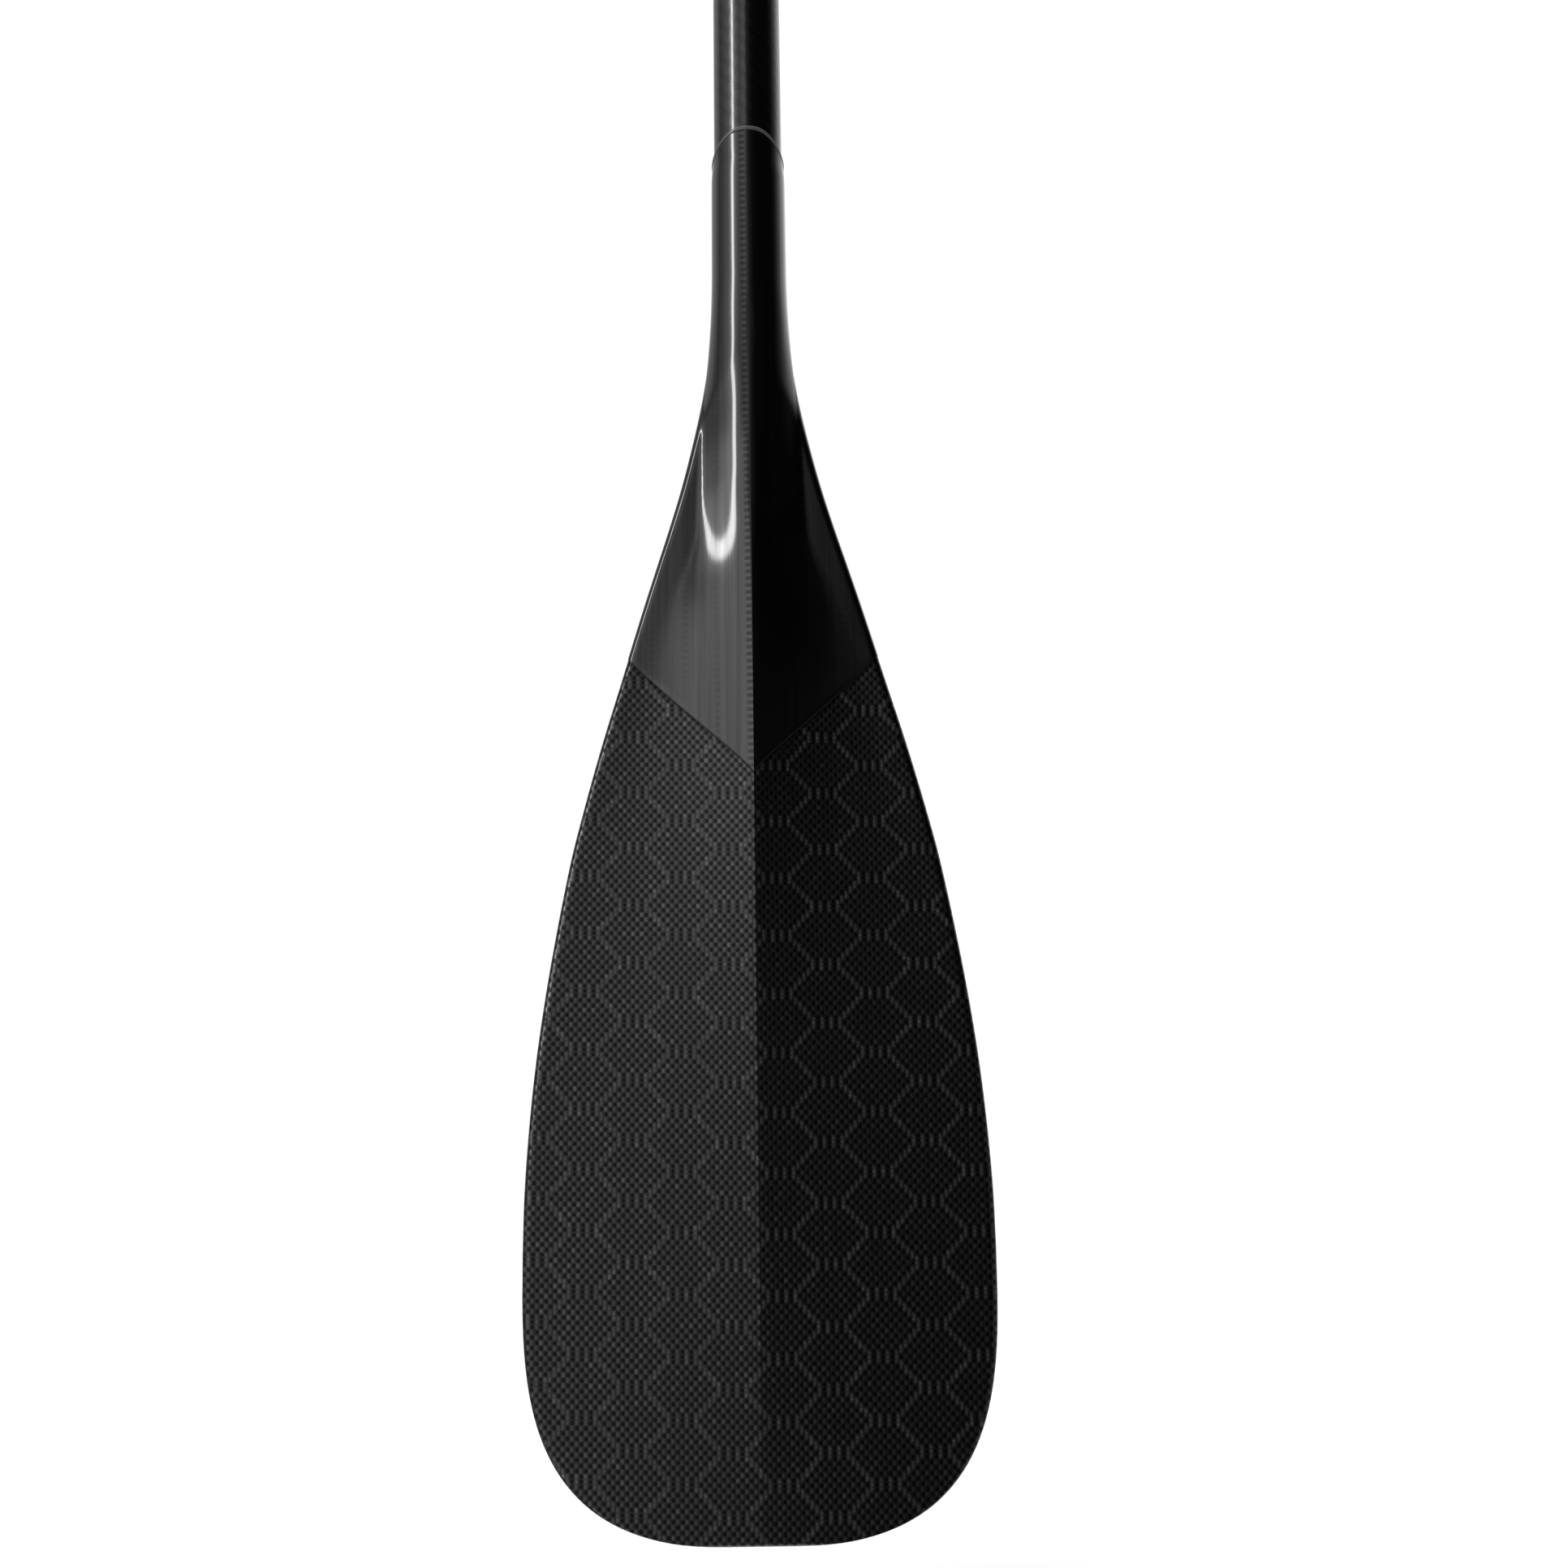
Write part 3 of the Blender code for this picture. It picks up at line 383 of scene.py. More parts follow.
def make_twill(name, roughness, coat, sheen_contrast, ticks=False):
    """Round tube of 2 x 2 twill carbon. Its coordinates run round and along the row's Z axis."""
    made, g, shader = material(name, 1.0, roughness, coat, 0.05)
    x, y, z = g.split(g.place())
    angle = g.math("ARCTAN2", y, x)
    tow = 2 * math.pi / TWILL_TOWS
    column = g.times(angle, 1 / tow)
    row = g.times(z, 1 / TWILL_PITCH)
    lane = g.math("FLOORED_MODULO", g.add(g.math("FLOOR", column), g.math("FLOOR", row)), 4.0)
    over = g.less(lane, 1.5)
    u = g.add(g.math("FRACT", column), -0.5)
    v = g.add(g.math("FRACT", row), -0.5)
    crown = g.mix(over, g.add(1.0, g.times(v, v, -4.0)), g.add(1.0, g.times(u, u, -4.0)))
    fibre = g.noise(g.vector(g.times(column, 6.0), g.times(row, 0.5), 0.0), detail=2.0)
    # Painted sheen: the tows of one direction are lighter where they lie on top, and each crown is
    # lighter at its middle.
    base = g.add(0.060, g.times(over, sheen_contrast), g.times(crown, 0.012), g.times(fibre, 0.02))
    if ticks:
        mark = g.add(g.math("FRACT", g.add(g.times(z, 1 / SCALE_PITCH), 0.5)), -0.5)
        thin = g.less(g.math("ABSOLUTE", mark), 0.035)
        beside = g.less(g.math("ABSOLUTE", g.add(angle, SCALE_ANGLE)), 0.16)
        within = g.less(g.math("ABSOLUTE", g.add(z, SCALE_MIDDLE)), SCALE_REACH)
        painted = g.times(thin, beside, within)
        bare = g.vector(base, base, base)
        g.put(shader.inputs["Base Color"], g.tint(painted, bare, (0.75, 0.75, 0.72)))
        g.put(shader.inputs["Metallic"], g.mix(painted, 1.0, 0.0))
    else:
        g.put(shader.inputs["Base Color"], base)
    g.put(shader.inputs["Normal"], g.bump(crown, 0.008))
    return made


def make_plastic(name, color, roughness):
    """Glass-filled nylon from a spark-eroded mould."""
    made, g, shader = material(name, 0.0, roughness)
    place = g.place()
    grain = g.noise(place, scale=3.2, detail=3.0)
    cloud = g.noise(place, scale=0.12, detail=2.0)
    paler = tuple(1.35 * part for part in color)
    g.put(shader.inputs["Base Color"], g.tint(g.step(cloud, 0.3, 0.7), color, paler))
    g.put(shader.inputs["Roughness"], g.add(roughness - 0.05, g.times(cloud, 0.1)))
    g.put(shader.inputs["Normal"], g.bump(grain, 0.05))
    return made


def make_rubber():
    made, g, shader = material("black_rubber", 0.0, 0.6)
    place = g.place()
    grain = g.noise(place, scale=5.0, detail=3.0)
    dust = g.noise(place, scale=0.2, detail=4.0)
    clean, dusty = (0.019, 0.019, 0.020), (0.045, 0.044, 0.042)
    g.put(shader.inputs["Base Color"], g.tint(g.step(dust, 0.45, 0.75), clean, dusty))
    g.put(shader.inputs["Roughness"], g.step(dust, 0.3, 0.7, 0.5, 0.68))
    g.put(shader.inputs["Normal"], g.bump(grain, 0.03))
    return made


def make_steel():
    """Turned stainless steel."""
    made, g, shader = material("stainless_steel", 1.0, 0.26)
    x, y, z = g.split(g.place())
    turned = g.noise(g.vector(g.times(x, 0.6), g.times(y, 9.0), g.times(z, 0.6)), detail=2.0)
    worn = g.noise(g.place(), scale=0.7, detail=3.0)
    g.put(shader.inputs["Base Color"], g.tint(worn, (0.48, 0.48, 0.47), (0.60, 0.60, 0.59)))
    g.put(shader.inputs["Roughness"], g.step(worn, 0.3, 0.7, 0.2, 0.32))
    g.put(shader.inputs["Normal"], g.bump(turned, 0.006))
    return made


def make_foam():
    made, g, shader = material("closed_cell_foam", 0.0, 0.9)
    cells = g.node("TexVoronoi")
    g.put(cells.inputs["Vector"], g.place())
    cells.inputs["Scale"].default_value = 1.6
    distance = cells.outputs["Distance"]
    g.put(shader.inputs["Base Color"], g.tint(distance, (0.84, 0.82, 0.74), (0.70, 0.67, 0.58)))
    g.put(shader.inputs["Normal"], g.bump(distance, 0.15))
    return made


def make_spar():
    made, g, shader = material("moulded_spar", 0.3, 0.5)
    x, y, z = g.split(g.place())
    strand = g.noise(g.vector(g.times(x, 1.5), g.times(y, 1.5), g.times(z, 0.08)), detail=3.0)
    g.put(shader.inputs["Base Color"], g.tint(strand, (0.035, 0.035, 0.036), (0.075, 0.075, 0.073)))
    g.put(shader.inputs["Normal"], g.bump(strand, 0.04))
    return made


def make_resin():
    """The bead of filled resin at the end of the neck wrap."""
    made, g, shader = material("seam_resin", 0.0, 0.3, 0.4, 0.05)
    waves = g.noise(g.place(), scale=0.5, detail=2.0)
    g.put(shader.inputs["Base Color"], g.tint(waves, (0.035, 0.035, 0.037), (0.07, 0.07, 0.069)))
    g.put(shader.inputs["Normal"], g.bump(waves, 0.05))
    return made


LOOKS = {
    "blade_weave": make_weave(),
    "neck_carbon": make_neck(),
    "shaft_carbon": make_twill("woven_shaft_carbon", 0.13, 0.5, 0.016),
    "ferrule_carbon": make_twill("ferrule_carbon", 0.32, 0.0, 0.012, ticks=True),
    "spar": make_spar(),
    "foam": make_foam(),
    "seam_resin": make_resin(),
    "drip_rubber": make_rubber(),
    "black_nylon": make_plastic("black_nylon", (0.016, 0.016, 0.017), 0.42),
    "grey_nylon": make_plastic("grey_nylon", (0.055, 0.056, 0.058), 0.40),
    "steel": make_steel(),
}


# ---- pieces ----

def show(name, mesh, node, slot, body):
    """A finished piece: it stands for a CAD node, rides on its body and wears its slot's look."""
    mesh.materials.clear()
    mesh.materials.append(LOOKS[slot])
    piece = bpy.data.objects.new(name, mesh)
    bpy.context.scene.collection.objects.link(piece)
    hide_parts(node)
    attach(piece, body)
    return piece


def smooth(mesh, degrees=35):
    mesh.shade_smooth()
    mesh.set_sharp_from_angle(angle=math.radians(degrees))
    return mesh


def smooth_curve(points):
    """A monotone cubic through (place, value) points, as a function of an array of places."""
    places, values = np.array(points, float).T
    steps = np.diff(places)
    slopes = np.diff(values) / steps
    tangents = np.zeros(len(places))
    tangents[0], tangents[-1] = slopes[0], slopes[-1]
    for i in range(1, len(slopes)):
        before, after = slopes[i - 1], slopes[i]
        if before * after > 0:
            first = 2 * steps[i] + steps[i - 1]
            second = steps[i] + 2 * steps[i - 1]
            tangents[i] = (first + second) / (first / before + second / after)

    def value(place):
        place = np.clip(place, places[0], places[-1])
        i = np.clip(np.searchsorted(places, place) - 1, 0, len(steps) - 1)
        t = (place - places[i]) / steps[i]
        rise = values[i] + t * t * (3 - 2 * t) * (values[i + 1] - values[i])
        return rise + steps[i] * t * (1 - t) * ((1 - t) * tangents[i] - t * tangents[i + 1])

    return value


OUTLINE_CURVE = smooth_curve(OUTLINE)
SIDE_CURVES = {
    sign: [
        smooth_curve([(distance, side[k]) for distance, side in table.items()])
        for k in range(len(Side._fields))
    ]
    for sign, table in ((-1, FRONT), (1, BACK))
}


def half_width(distance, inset):
    """Half-width of the outline, drawn in by inset."""
    along = np.clip((TIP_LENGTH - distance) / TIP_LENGTH, 0, 1)
    tip = (TIP_HALF_WIDTH - inset) * (1 - along ** TIP_ALONG) ** (1 / TIP_ACROSS)
    return np.where(distance >= TIP_LENGTH, OUTLINE_CURVE(distance) - inset, tip)


def surface_height(sign, distance, x, inset):
    """Height of one side above the blade's middle surface."""
    side = Side(*[curve(distance) for curve in SIDE_CURVES[sign]])
    width = half_width(distance, inset)
    edge = np.minimum(side.edge - inset / 2, width)
    edge = np.where((inset > 0) & (distance > SOCKET_BLEND), width, edge)
    plate = np.maximum(side.plate - inset, 0.2)
    rim = np.sqrt(1 - np.clip((np.abs(x) - (width - edge)) / edge, 0, 1) ** 2)
    across = np.clip(np.abs(x) / (side.foot - inset), 0, 1)
    spine = (side.height - inset - plate) * (1 - across ** side.crest) ** side.skirt
    tip = np.sqrt(1 - (1 - np.clip(distance / side.edge, 0, 1)) ** 2)
    return (plate * rim + spine) * tip


def skin_inset(distance):
    return np.full_like(distance, SKIN)


def neck_inset(distance):
    """Wall of the neck: the skin's at the blade, thick enough to leave the socket at the shaft."""
    wall = half_width(distance, 0) - SOCKET_RADIUS
    share = np.clip((distance - SOCKET_BLEND) / (SOCKET_START - SOCKET_BLEND), 0, 1)
    return SKIN + share * (wall - SKIN)


def core_inset(distance):
    return np.full_like(distance, SKIN + GAP)


def no_inset(distance):
    return np.zeros_like(distance)


def arch(across):
    """How far the neck wrap's upper edge lies below its highest point."""
    return ARCH_DROP * np.abs(across) ** ARCH_BEND


def blade_surface(sign, rows, columns, inset_of, lift):
    """Points of one side: rows are (distance at the centre, distance at the edge)."""
    centre, side = np.array(rows).T[:, :, None]
    across = columns[None, :]
    arched = np.maximum(0, (centre - ARCH_START) / (NECK_END - ARCH_START))
    distance = centre + (side - centre) * np.abs(across) ** WRAP_BEND - arched * arch(across)
    inset = inset_of(distance)
    x = across * half_width(distance, inset)
    height = surface_height(sign, distance, x, inset)
    tip = inset + distance * (TIP_LENGTH - inset) / TIP_LENGTH
    along = np.where(distance < TIP_LENGTH, tip, distance)
    scoop = SCOOP * np.clip(1 - distance / SCOOP_START, 0, 1) ** 2
    rise = np.array(lift)[:, None] * np.ones_like(across)
    y = scoop + sign * (height + SEAM + np.maximum(rise, -height))
    return np.stack([x + across * rise, y, along], axis=-1)


def spread(count):
    """Columns from edge to edge, closer together at the ridge and at both edges."""
    even = np.linspace(-1, 1, 2 * count + 1)
    return np.sign(even) * even ** 2 * (3 - 2 * np.abs(even))


def grid_faces(rows, columns, start, flip):
    faces = []
    for i in range(rows - 1):
        for j in range(columns - 1):
            a = start + i * columns + j
            face = (a, a + 1, a + columns + 1, a + columns)
            faces.append(face[::-1] if flip else face)
    return faces


def in_row_frame(points, side):
    """Points of a blade's own frame in the row frame, in metres."""
    if side == "left":
        points = points * (-1, 1, -1) + (0, 0, HALF_LENGTH)
    else:
        points = points - (0, 0, HALF_LENGTH)
    return (points * MM).tolist()


def shell_mesh(name, outer, inner, cloth, front, side):
    """A closed shell between two grids, with the cloth's coordinates on its points."""
    rows, columns = outer.shape[:2]
    count = rows * columns
    points = np.concatenate([outer.reshape(-1, 3), inner.reshape(-1, 3)])
    faces = grid_faces(rows, columns, 0, not front) + grid_faces(rows, columns, count, front)
    first = list(range(columns))
    last = [(rows - 1) * columns + j for j in range(columns)]
    low = [i * columns for i in range(rows)]
    high = [i * columns + columns - 1 for i in range(rows)]
    for line, flip in ((first, False), (last, True), (low, True), (high, False)):
        for a, b in zip(line, line[1:]):
            face = (a, a + count, b + count, b)
            faces.append(face if flip != front else face[::-1])
    mesh = bpy.data.meshes.new(name)
    mesh.from_pydata(in_row_frame(points, side), [], faces)
    attribute = mesh.attributes.new("cloth", "FLOAT_VECTOR", "POINT")
    both = np.concatenate([cloth.reshape(-1, 3)] * 2)
    attribute.data.foreach_set("vector", both.astype(np.float32).ravel())
    return smooth(mesh)


def wrap_edge(columns):
    """Distance of the neck wrap's lower edge from the tip, for each column."""
    return WRAP_POINT + (WRAP_SIDE - WRAP_POINT) * np.abs(columns) ** WRAP_BEND


def make_skin(side, face, sign):
    columns = spread(52)
    turns = np.concatenate([[0.6, 1.2, 2.0, 3.0], np.arange(4.5, 88, 2.5), [90]])
    tip = TIP_LENGTH * (1 - np.cos(np.radians(turns)) ** (2 / TIP_ALONG))
    shares = np.linspace(0, 1, 76)[1:]
    rows = [(d, d) for d in tip]
    rows += [
        (TIP_LENGTH + s * (WRAP_POINT - TIP_LENGTH), TIP_LENGTH + s * (WRAP_SIDE - TIP_LENGTH))
        for s in shares
    ]
    lift = np.zeros(len(rows))
    outer = blade_surface(sign, rows, columns, no_inset, lift)
    inner = blade_surface(sign, rows, columns, skin_inset, lift)
    edge = wrap_edge(columns) - outer[..., 2]
    cloth = np.stack([outer[..., 0], outer[..., 2], edge], axis=-1)
    name = f"{side}_blade_skin_{face}"
    mesh = shell_mesh(name, outer, inner, cloth, sign < 0, side)
    show(name + "_cloth", mesh, name, "blade_weave", side + "_half")


def make_core(side):
    """Foam between the skins, up to the spar."""
    columns = spread(24)
    turns = np.concatenate([[4.0, 8.0], np.arange(13, 90, 6), [90]])
    tip = TIP_LENGTH * (1 - np.cos(np.radians(turns)) ** (2 / TIP_ALONG))
    rows = [(d, d) for d in list(tip) + list(np.linspace(TIP_LENGTH, CORE_END, 70)[1:])]
    lift = np.full(len(rows), -SEAM)
    near = blade_surface(-1, rows, columns, core_inset, lift)
    far = blade_surface(1, rows, columns, core_inset, lift)
    loops = np.concatenate([near, far[:, -2:0:-1]], axis=1)
    around = loops.shape[1]
    faces = []
    for i in range(len(rows) - 1):
        for j in range(around):
            a, b = i * around + j, i * around + (j + 1) % around
            faces.append((a, b, b + around, a + around))
    faces.append(tuple(range(around))[::-1])
    faces.append(tuple(range((len(rows) - 1) * around, len(rows) * around)))
    mesh = bpy.data.meshes.new("core")
    mesh.from_pydata(in_row_frame(loops.reshape(-1, 3), side), [], faces)
    node = side + "_blade_core"
    show(node + "_foam", smooth(outward(mesh)), node, "foam", side + "_half")


def make_wrap(side, face, sign):
    """Neck wrap, from a V on the blade to the seam, a little proud of the blade's cloth."""
    columns = spread(40)
    start = [(0.0, -0.1), (0.02, 0.6), (0.2, 0.86), (0.6, 1.0)]
    shares = np.linspace(0, 1, 92)[1:]
    rows, lift = [], []
    for past, share in start:
        rows.append((WRAP_POINT + past, WRAP_SIDE + past))
        lift.append(share * WRAP_LIFT)
    for s in shares:
        rows.append((
            WRAP_POINT + 0.6 + s * (NECK_END - WRAP_POINT - 0.6),
            WRAP_SIDE + 0.6 + s * (NECK_END - WRAP_SIDE - 0.6),
        ))
        lift.append(WRAP_LIFT * (1 - 0.6 * s))
    outer = blade_surface(sign, rows, columns, no_inset, lift)
    inner = blade_surface(sign, rows, columns, neck_inset, np.zeros(len(rows)))
    steps = np.hypot(np.diff(outer[..., 0], axis=1), np.diff(outer[..., 1], axis=1))
    walked = np.concatenate([np.zeros((len(rows), 1)), np.cumsum(steps, axis=1)], axis=1)
    walked -= walked[:, len(columns) // 2][:, None]
    edge = outer[..., 2] - wrap_edge(columns)
    cloth = np.stack([walked, outer[..., 2], edge], axis=-1)
    name = f"{side}_neck_wrap_{face}"
    mesh = shell_mesh(name, outer, inner, cloth, sign < 0, side)
    show(name + "_tape", mesh, name, "neck_carbon", side + "_half")


# ---- turned and cut pieces ----

def rounded(points, radius, steps=4):
    """A closed (r, z) profile with rounded corners. A radius is one number or one per corner."""
    radii = [radius] * len(points) if isinstance(radius, (int, float)) else radius
    made = []
    for i, here in enumerate(points):
        here = Vector(here)
        before, after = Vector(points[i - 1]) - here, Vector(points[(i + 1) % len(points)]) - here
        cut = min(radii[i], before.length * 0.45, after.length * 0.45)
        if cut <= 0:
            made.append(tuple(here))
            continue
        start, end = here + before.normalized() * cut, here + after.normalized() * cut
        for k in range(steps + 1):
            t = k / steps
            made.append(tuple((1 - t) ** 2 * start + 2 * t * (1 - t) * here + t * t * end))
    return made


def ring_mesh(name, profile, steps=96, shape=None):
    """A closed profile turned round Z. shape(angle, r, z) may move the radius."""
    count = len(profile)
    points, faces = [], []
    for i in range(steps):
        angle = 2 * math.pi * i / steps
        for r, z in profile:
            if shape is not None:
                r = shape(angle, r, z)
            points.append((r * math.cos(angle) * MM, r * math.sin(angle) * MM, z * MM))
    for i in range(steps):
        for j in range(count):
            a, b = i * count + j, i * count + (j + 1) % count
            c, d = (i + 1) % steps * count + (j + 1) % count, (i + 1) % steps * count + j
            faces.append((a, b, c, d))
    mesh = bpy.data.meshes.new(name)
    mesh.from_pydata(points, [], faces)
    return outward(mesh)


def outward(mesh):
    shape = bmesh.new()
    shape.from_mesh(mesh)
    bmesh.ops.recalc_face_normals(shape, faces=shape.faces)
    shape.to_mesh(mesh)
    shape.free()
    return mesh


def rod_mesh(name, profile, steps=48):
    """An open profile, from the axis and back to it, turned round Z."""
    mesh = bpy.data.meshes.new(name)
    shape = bmesh.new()
    loops = []
    for r, z in profile[1:-1]:
        loops.append([
            shape.verts.new((
                r * math.cos(2 * math.pi * i / steps) * MM,
                r * math.sin(2 * math.pi * i / steps) * MM, z * MM,
            ))
            for i in range(steps)
        ])
    for near, far in zip(loops, loops[1:]):
        for i in range(steps):
            k = (i + 1) % steps
            shape.faces.new((near[i], near[k], far[k], far[i]))
    shape.faces.new(loops[0])
    shape.faces.new(loops[-1])
    bmesh.ops.recalc_face_normals(shape, faces=shape.faces)
    shape.to_mesh(mesh)
    shape.free()
    return mesh


def drill(name, radius, steps):
    """A cutter that goes right through the ferrule's pieces."""
    return rod_mesh(name, [(0, -20), (radius, -20), (radius, 20), (0, 20)], steps)


def box_mesh(low, high):
    mesh = bpy.data.meshes.new("box")
    shape = bmesh.new()
    bmesh.ops.create_cube(shape, size=1.0)
    size = [(h - l) * MM for l, h in zip(low, high)]
    centre = [(h + l) / 2 * MM for l, h in zip(low, high)]
    place = Matrix.Translation(centre) @ Matrix.Diagonal((*size, 1))
    bmesh.ops.transform(shape, matrix=place, verts=shape.verts)
    shape.to_mesh(mesh)
    shape.free()
    return mesh


def placed(mesh, location, rotation=Matrix.Identity(4)):
    mesh.transform(Matrix.Translation(Vector(location) * MM) @ rotation)
    return mesh


def cut(mesh, *tools):
    """mesh with (operation, mesh) tools applied."""
    body = bpy.data.objects.new("body", mesh)
    bpy.context.scene.collection.objects.link(body)
    helpers = []
    for operation, tool in tools:
        helper = bpy.data.objects.new("tool", tool)
        bpy.context.scene.collection.objects.link(helper)
        helpers.append(helper)
        modifier = body.modifiers.new(operation, "BOOLEAN")
        modifier.operation = operation
        modifier.solver = "EXACT"
        modifier.object = helper
    graph = bpy.context.evaluated_depsgraph_get()
    result = bpy.data.meshes.new_from_object(body.evaluated_get(graph))
    for used in [body, *helpers]:
        bpy.data.objects.remove(used)
    return result


def soften(mesh, width, segments=2, degrees=40):
    """mesh with its sharp edges rounded."""
    body = bpy.data.objects.new("body", mesh)
    bpy.context.scene.collection.objects.link(body)
    modifier = body.modifiers.new("Soften", "BEVEL")
    modifier.width = width * MM
    modifier.segments = segments
    modifier.limit_method = "ANGLE"
    modifier.angle_limit = math.radians(degrees)
    graph = bpy.context.evaluated_depsgraph_get()
    result = bpy.data.meshes.new_from_object(body.evaluated_get(graph))
    bpy.data.objects.remove(body)
    return result


def make_shaft(side):
    """Woven tube with soft ends. The right one is slit for the clamp."""
    right = side == "right"
    low, high = (-TUBE_START, RIGHT_TUBE_TOP) if right else (LEFT_TUBE_LOW, TUBE_START)
    profile = rounded([
        (SHAFT_BORE, high), (SHAFT_RADIUS, high), (SHAFT_RADIUS, low), (SHAFT_BORE, low),
    ], 0.4)
    mesh = ring_mesh(side + "_tube", profile)
    if right:
        slit = box_mesh((5, -1, high - SLIT_LENGTH), (20, 1, high + 10))
        relief = rod_mesh("relief", [(0, 0), (2, 0), (2, 12), (0, 12)])
        placed(relief, (8, 0, high - SLIT_LENGTH), Matrix.Rotation(math.pi / 2, 4, "Y"))
        mesh = cut(mesh, ("DIFFERENCE", slit), ("DIFFERENCE", relief))
    node = side + "_shaft_tube"
    show(node + "_twill", smooth(mesh), node, "shaft_carbon", side + "_half")


def make_seam_ring(side):
    inner, outer = SOCKET_RADIUS, 15.55
    bead = rounded([(inner, 1.6), (outer, 1.6), (outer, 0.0), (inner, 0.0)], [0.1, 0.5, 0.4, 0.1])
    mesh = ring_mesh(side + "_bead", bead)
    for vertex in mesh.vertices:
        vertex.co.z -= arch(vertex.co.x / vertex.co.xy.length) * MM
    placed(mesh, (0, 0, NECK_END + GAP - HALF_LENGTH))
    if side == "left":
        mesh.transform(TURN_X)
    node = side + "_seam_ring"
    show(node + "_bead", smooth(mesh), node, "seam_resin", side + "_half")


def make_drip_ring(side):
    """Soft cup with a rolled lip and two grip beads on its sleeve."""
    profile = [
        (14.8, 14.0), (16.2, 14.0), (17.2, 13.0), (17.2, 11.6), (16.7, 10.9), (17.2, 10.2),
        (17.2, 8.6), (16.7, 7.9), (17.2, 7.2), (17.3, 5.2), (19.0, 3.2), (21.6, 1.4),
        (23.4, -1.2), (24.4, -3.6), (24.1, -4.5), (23.4, -4.5), (22.6, -3.2), (21.0, -1.2),
        (18.9, 0.0), (17.2, 0.3), (14.8, 0.3),
    ]
    mesh = ring_mesh(side + "_cup", rounded(profile, 0.5, 3))
    if side == "left":
        mesh.transform(TURN_X)
    placed(mesh, (0, 0, -DRIP_RING_HEIGHT if side == "right" else DRIP_RING_HEIGHT))
    node = side + "_drip_ring"
    show(node + "_cup", smooth(mesh, 50), node, "drip_rubber", node)


def make_insert():
    """Male tube of the ferrule, with its keyway, and the cap in its end."""
    profile = rounded([
        (INSERT_BORE, INSERT_HIGH), (INSERT_RADIUS, INSERT_HIGH), (INSERT_RADIUS, INSERT_LOW),
        (INSERT_BORE, INSERT_LOW),
    ], 0.4)
    keyway = box_mesh((-1.5, -18, INSERT_LOW - 5), (1.5, -11.8, 13.6))
    mesh = cut(ring_mesh("insert", profile), ("DIFFERENCE", keyway))
    show("insert_tube_keyed", smooth(mesh), "insert_tube", "ferrule_carbon", "left_half")
    cap = rounded([
        (0, 10), (9.6, 10), (10.4, 9), (10.4, 0), (12.4, -0.3), (12.4, -3.5), (11.2, -5.5),
        (0, -5.5),
    ], [0, 0.3, 0.3, 0.1, 0.2, 0.6, 0.6, 0], 3)
    mesh = placed(rod_mesh("cap", cap, 64), (0, 0, INSERT_LOW))
    show("insert_end_cap_moulded", smooth(mesh), "insert_end_cap", "black_nylon", "left_half")


def make_index_ring():
    """Feather ring: a fluted grip flange over a skirt that snaps into the collar."""
    flange = [(13.1, 8.3), (17.6, 8.3), (18.5, 7.4), (18.5, 1.1), (17.9, 0.3), (15.7, 0.3)]
    skirt = [
        (15.7, -6.1), (16.3, -6.5), (16.3, -7.7), (15.7, -8.3), (15.7, -11.3), (13.1, -11.3),
    ]
    profile = rounded(flange + skirt, 0.25, 2)
    extra = []
    for (r, z), (_, z2) in zip(profile, profile[1:] + profile[:1]):
        extra.append((r, z))
        if abs(z2 - z) > 3 and r > 18:
            extra += [(r, z + (z2 - z) * k / 6) for k in range(1, 6)]

    def flutes(angle, r, z):
        if r < 18:
            return r
        depth = 0.55 * max(0.0, math.cos(12 * angle)) ** 4
        fade = max(0.0, 1 - ((z - 4.2) / 3.1) ** 4)
        return r - depth * fade

    mesh = ring_mesh("feather", extra, 240, flutes)
    key = box_mesh((-1.2, -14.0, -11.0), (1.2, -12.1, 8.0))
    mesh = cut(mesh, ("UNION", key))
    show("index_ring_fluted", smooth(mesh), "index_ring", "grey_nylon", "index_ring")


def make_collar():
    """Split collar with two ears, the ears softened as a moulding's are."""
    low = -34.0
    profile = [
        (16.0, 0.0), (17.9, 0.0), (18.5, -0.6), (18.5, low + 1.5), (17.0, low), (14.8, low),
        (14.8, -11.6), (16.0, -11.6), (16.0, -8.6), (16.6, -8.6), (16.6, -5.4), (16.0, -5.4),
    ]
    ears = box_mesh((16.8, -7.0, -29.0), (29.5, 7.0, -5.0))
    ears = soften(ears, 1.2, 4)
    split = box_mesh((9, -1.5, low - 5), (35, 1.5, 5))
    hole = drill("hole", BOLT_HOLE, 32)
    placed(hole, (BOLT_X, 0, BOLT_Z), ALONG_Y)
    mesh = cut(
        ring_mesh("collar", profile, 96), ("UNION", ears), ("DIFFERENCE", split),
        ("DIFFERENCE", hole),
    )
    show("clamp_collar_moulded", smooth(mesh), "clamp_collar", "black_nylon", "right_half")


def polar(radius, degrees):
    angle = math.radians(degrees)
    return radius * math.cos(angle), radius * math.sin(angle)


def lever_outline():
    outer = smooth_curve([
        (-158, 26.0), (-145, 24.2), (-120, 23.4), (-90, 23.4), (-70, 24.2), (-56, 25.2),
    ])
    inner = smooth_curve([
        (-158, 23.4), (-145, 20.6), (-120, 19.4), (-90, 19.3), (-70, 19.3), (-52, 19.9),
    ])
    outside = []
    for degrees in np.arange(-156.5, -55, 1.5):
        wave = max(0.0, math.sin(math.radians((degrees + 152) * 60)))
        grip = 0.35 * wave if degrees < -134 else 0
        outside.append(polar(float(outer(degrees)) - grip, degrees))
    inside = [polar(float(inner(a)), a) for a in np.arange(-52, -157.5, -3.0)]
    cam = []
    for degrees in range(-95, 156, 10):
        x, y = polar(5.5, degrees)
        cam.append((BOLT_X + x, PIN_Y + 0.45 + y))
    return outside + cam + inside


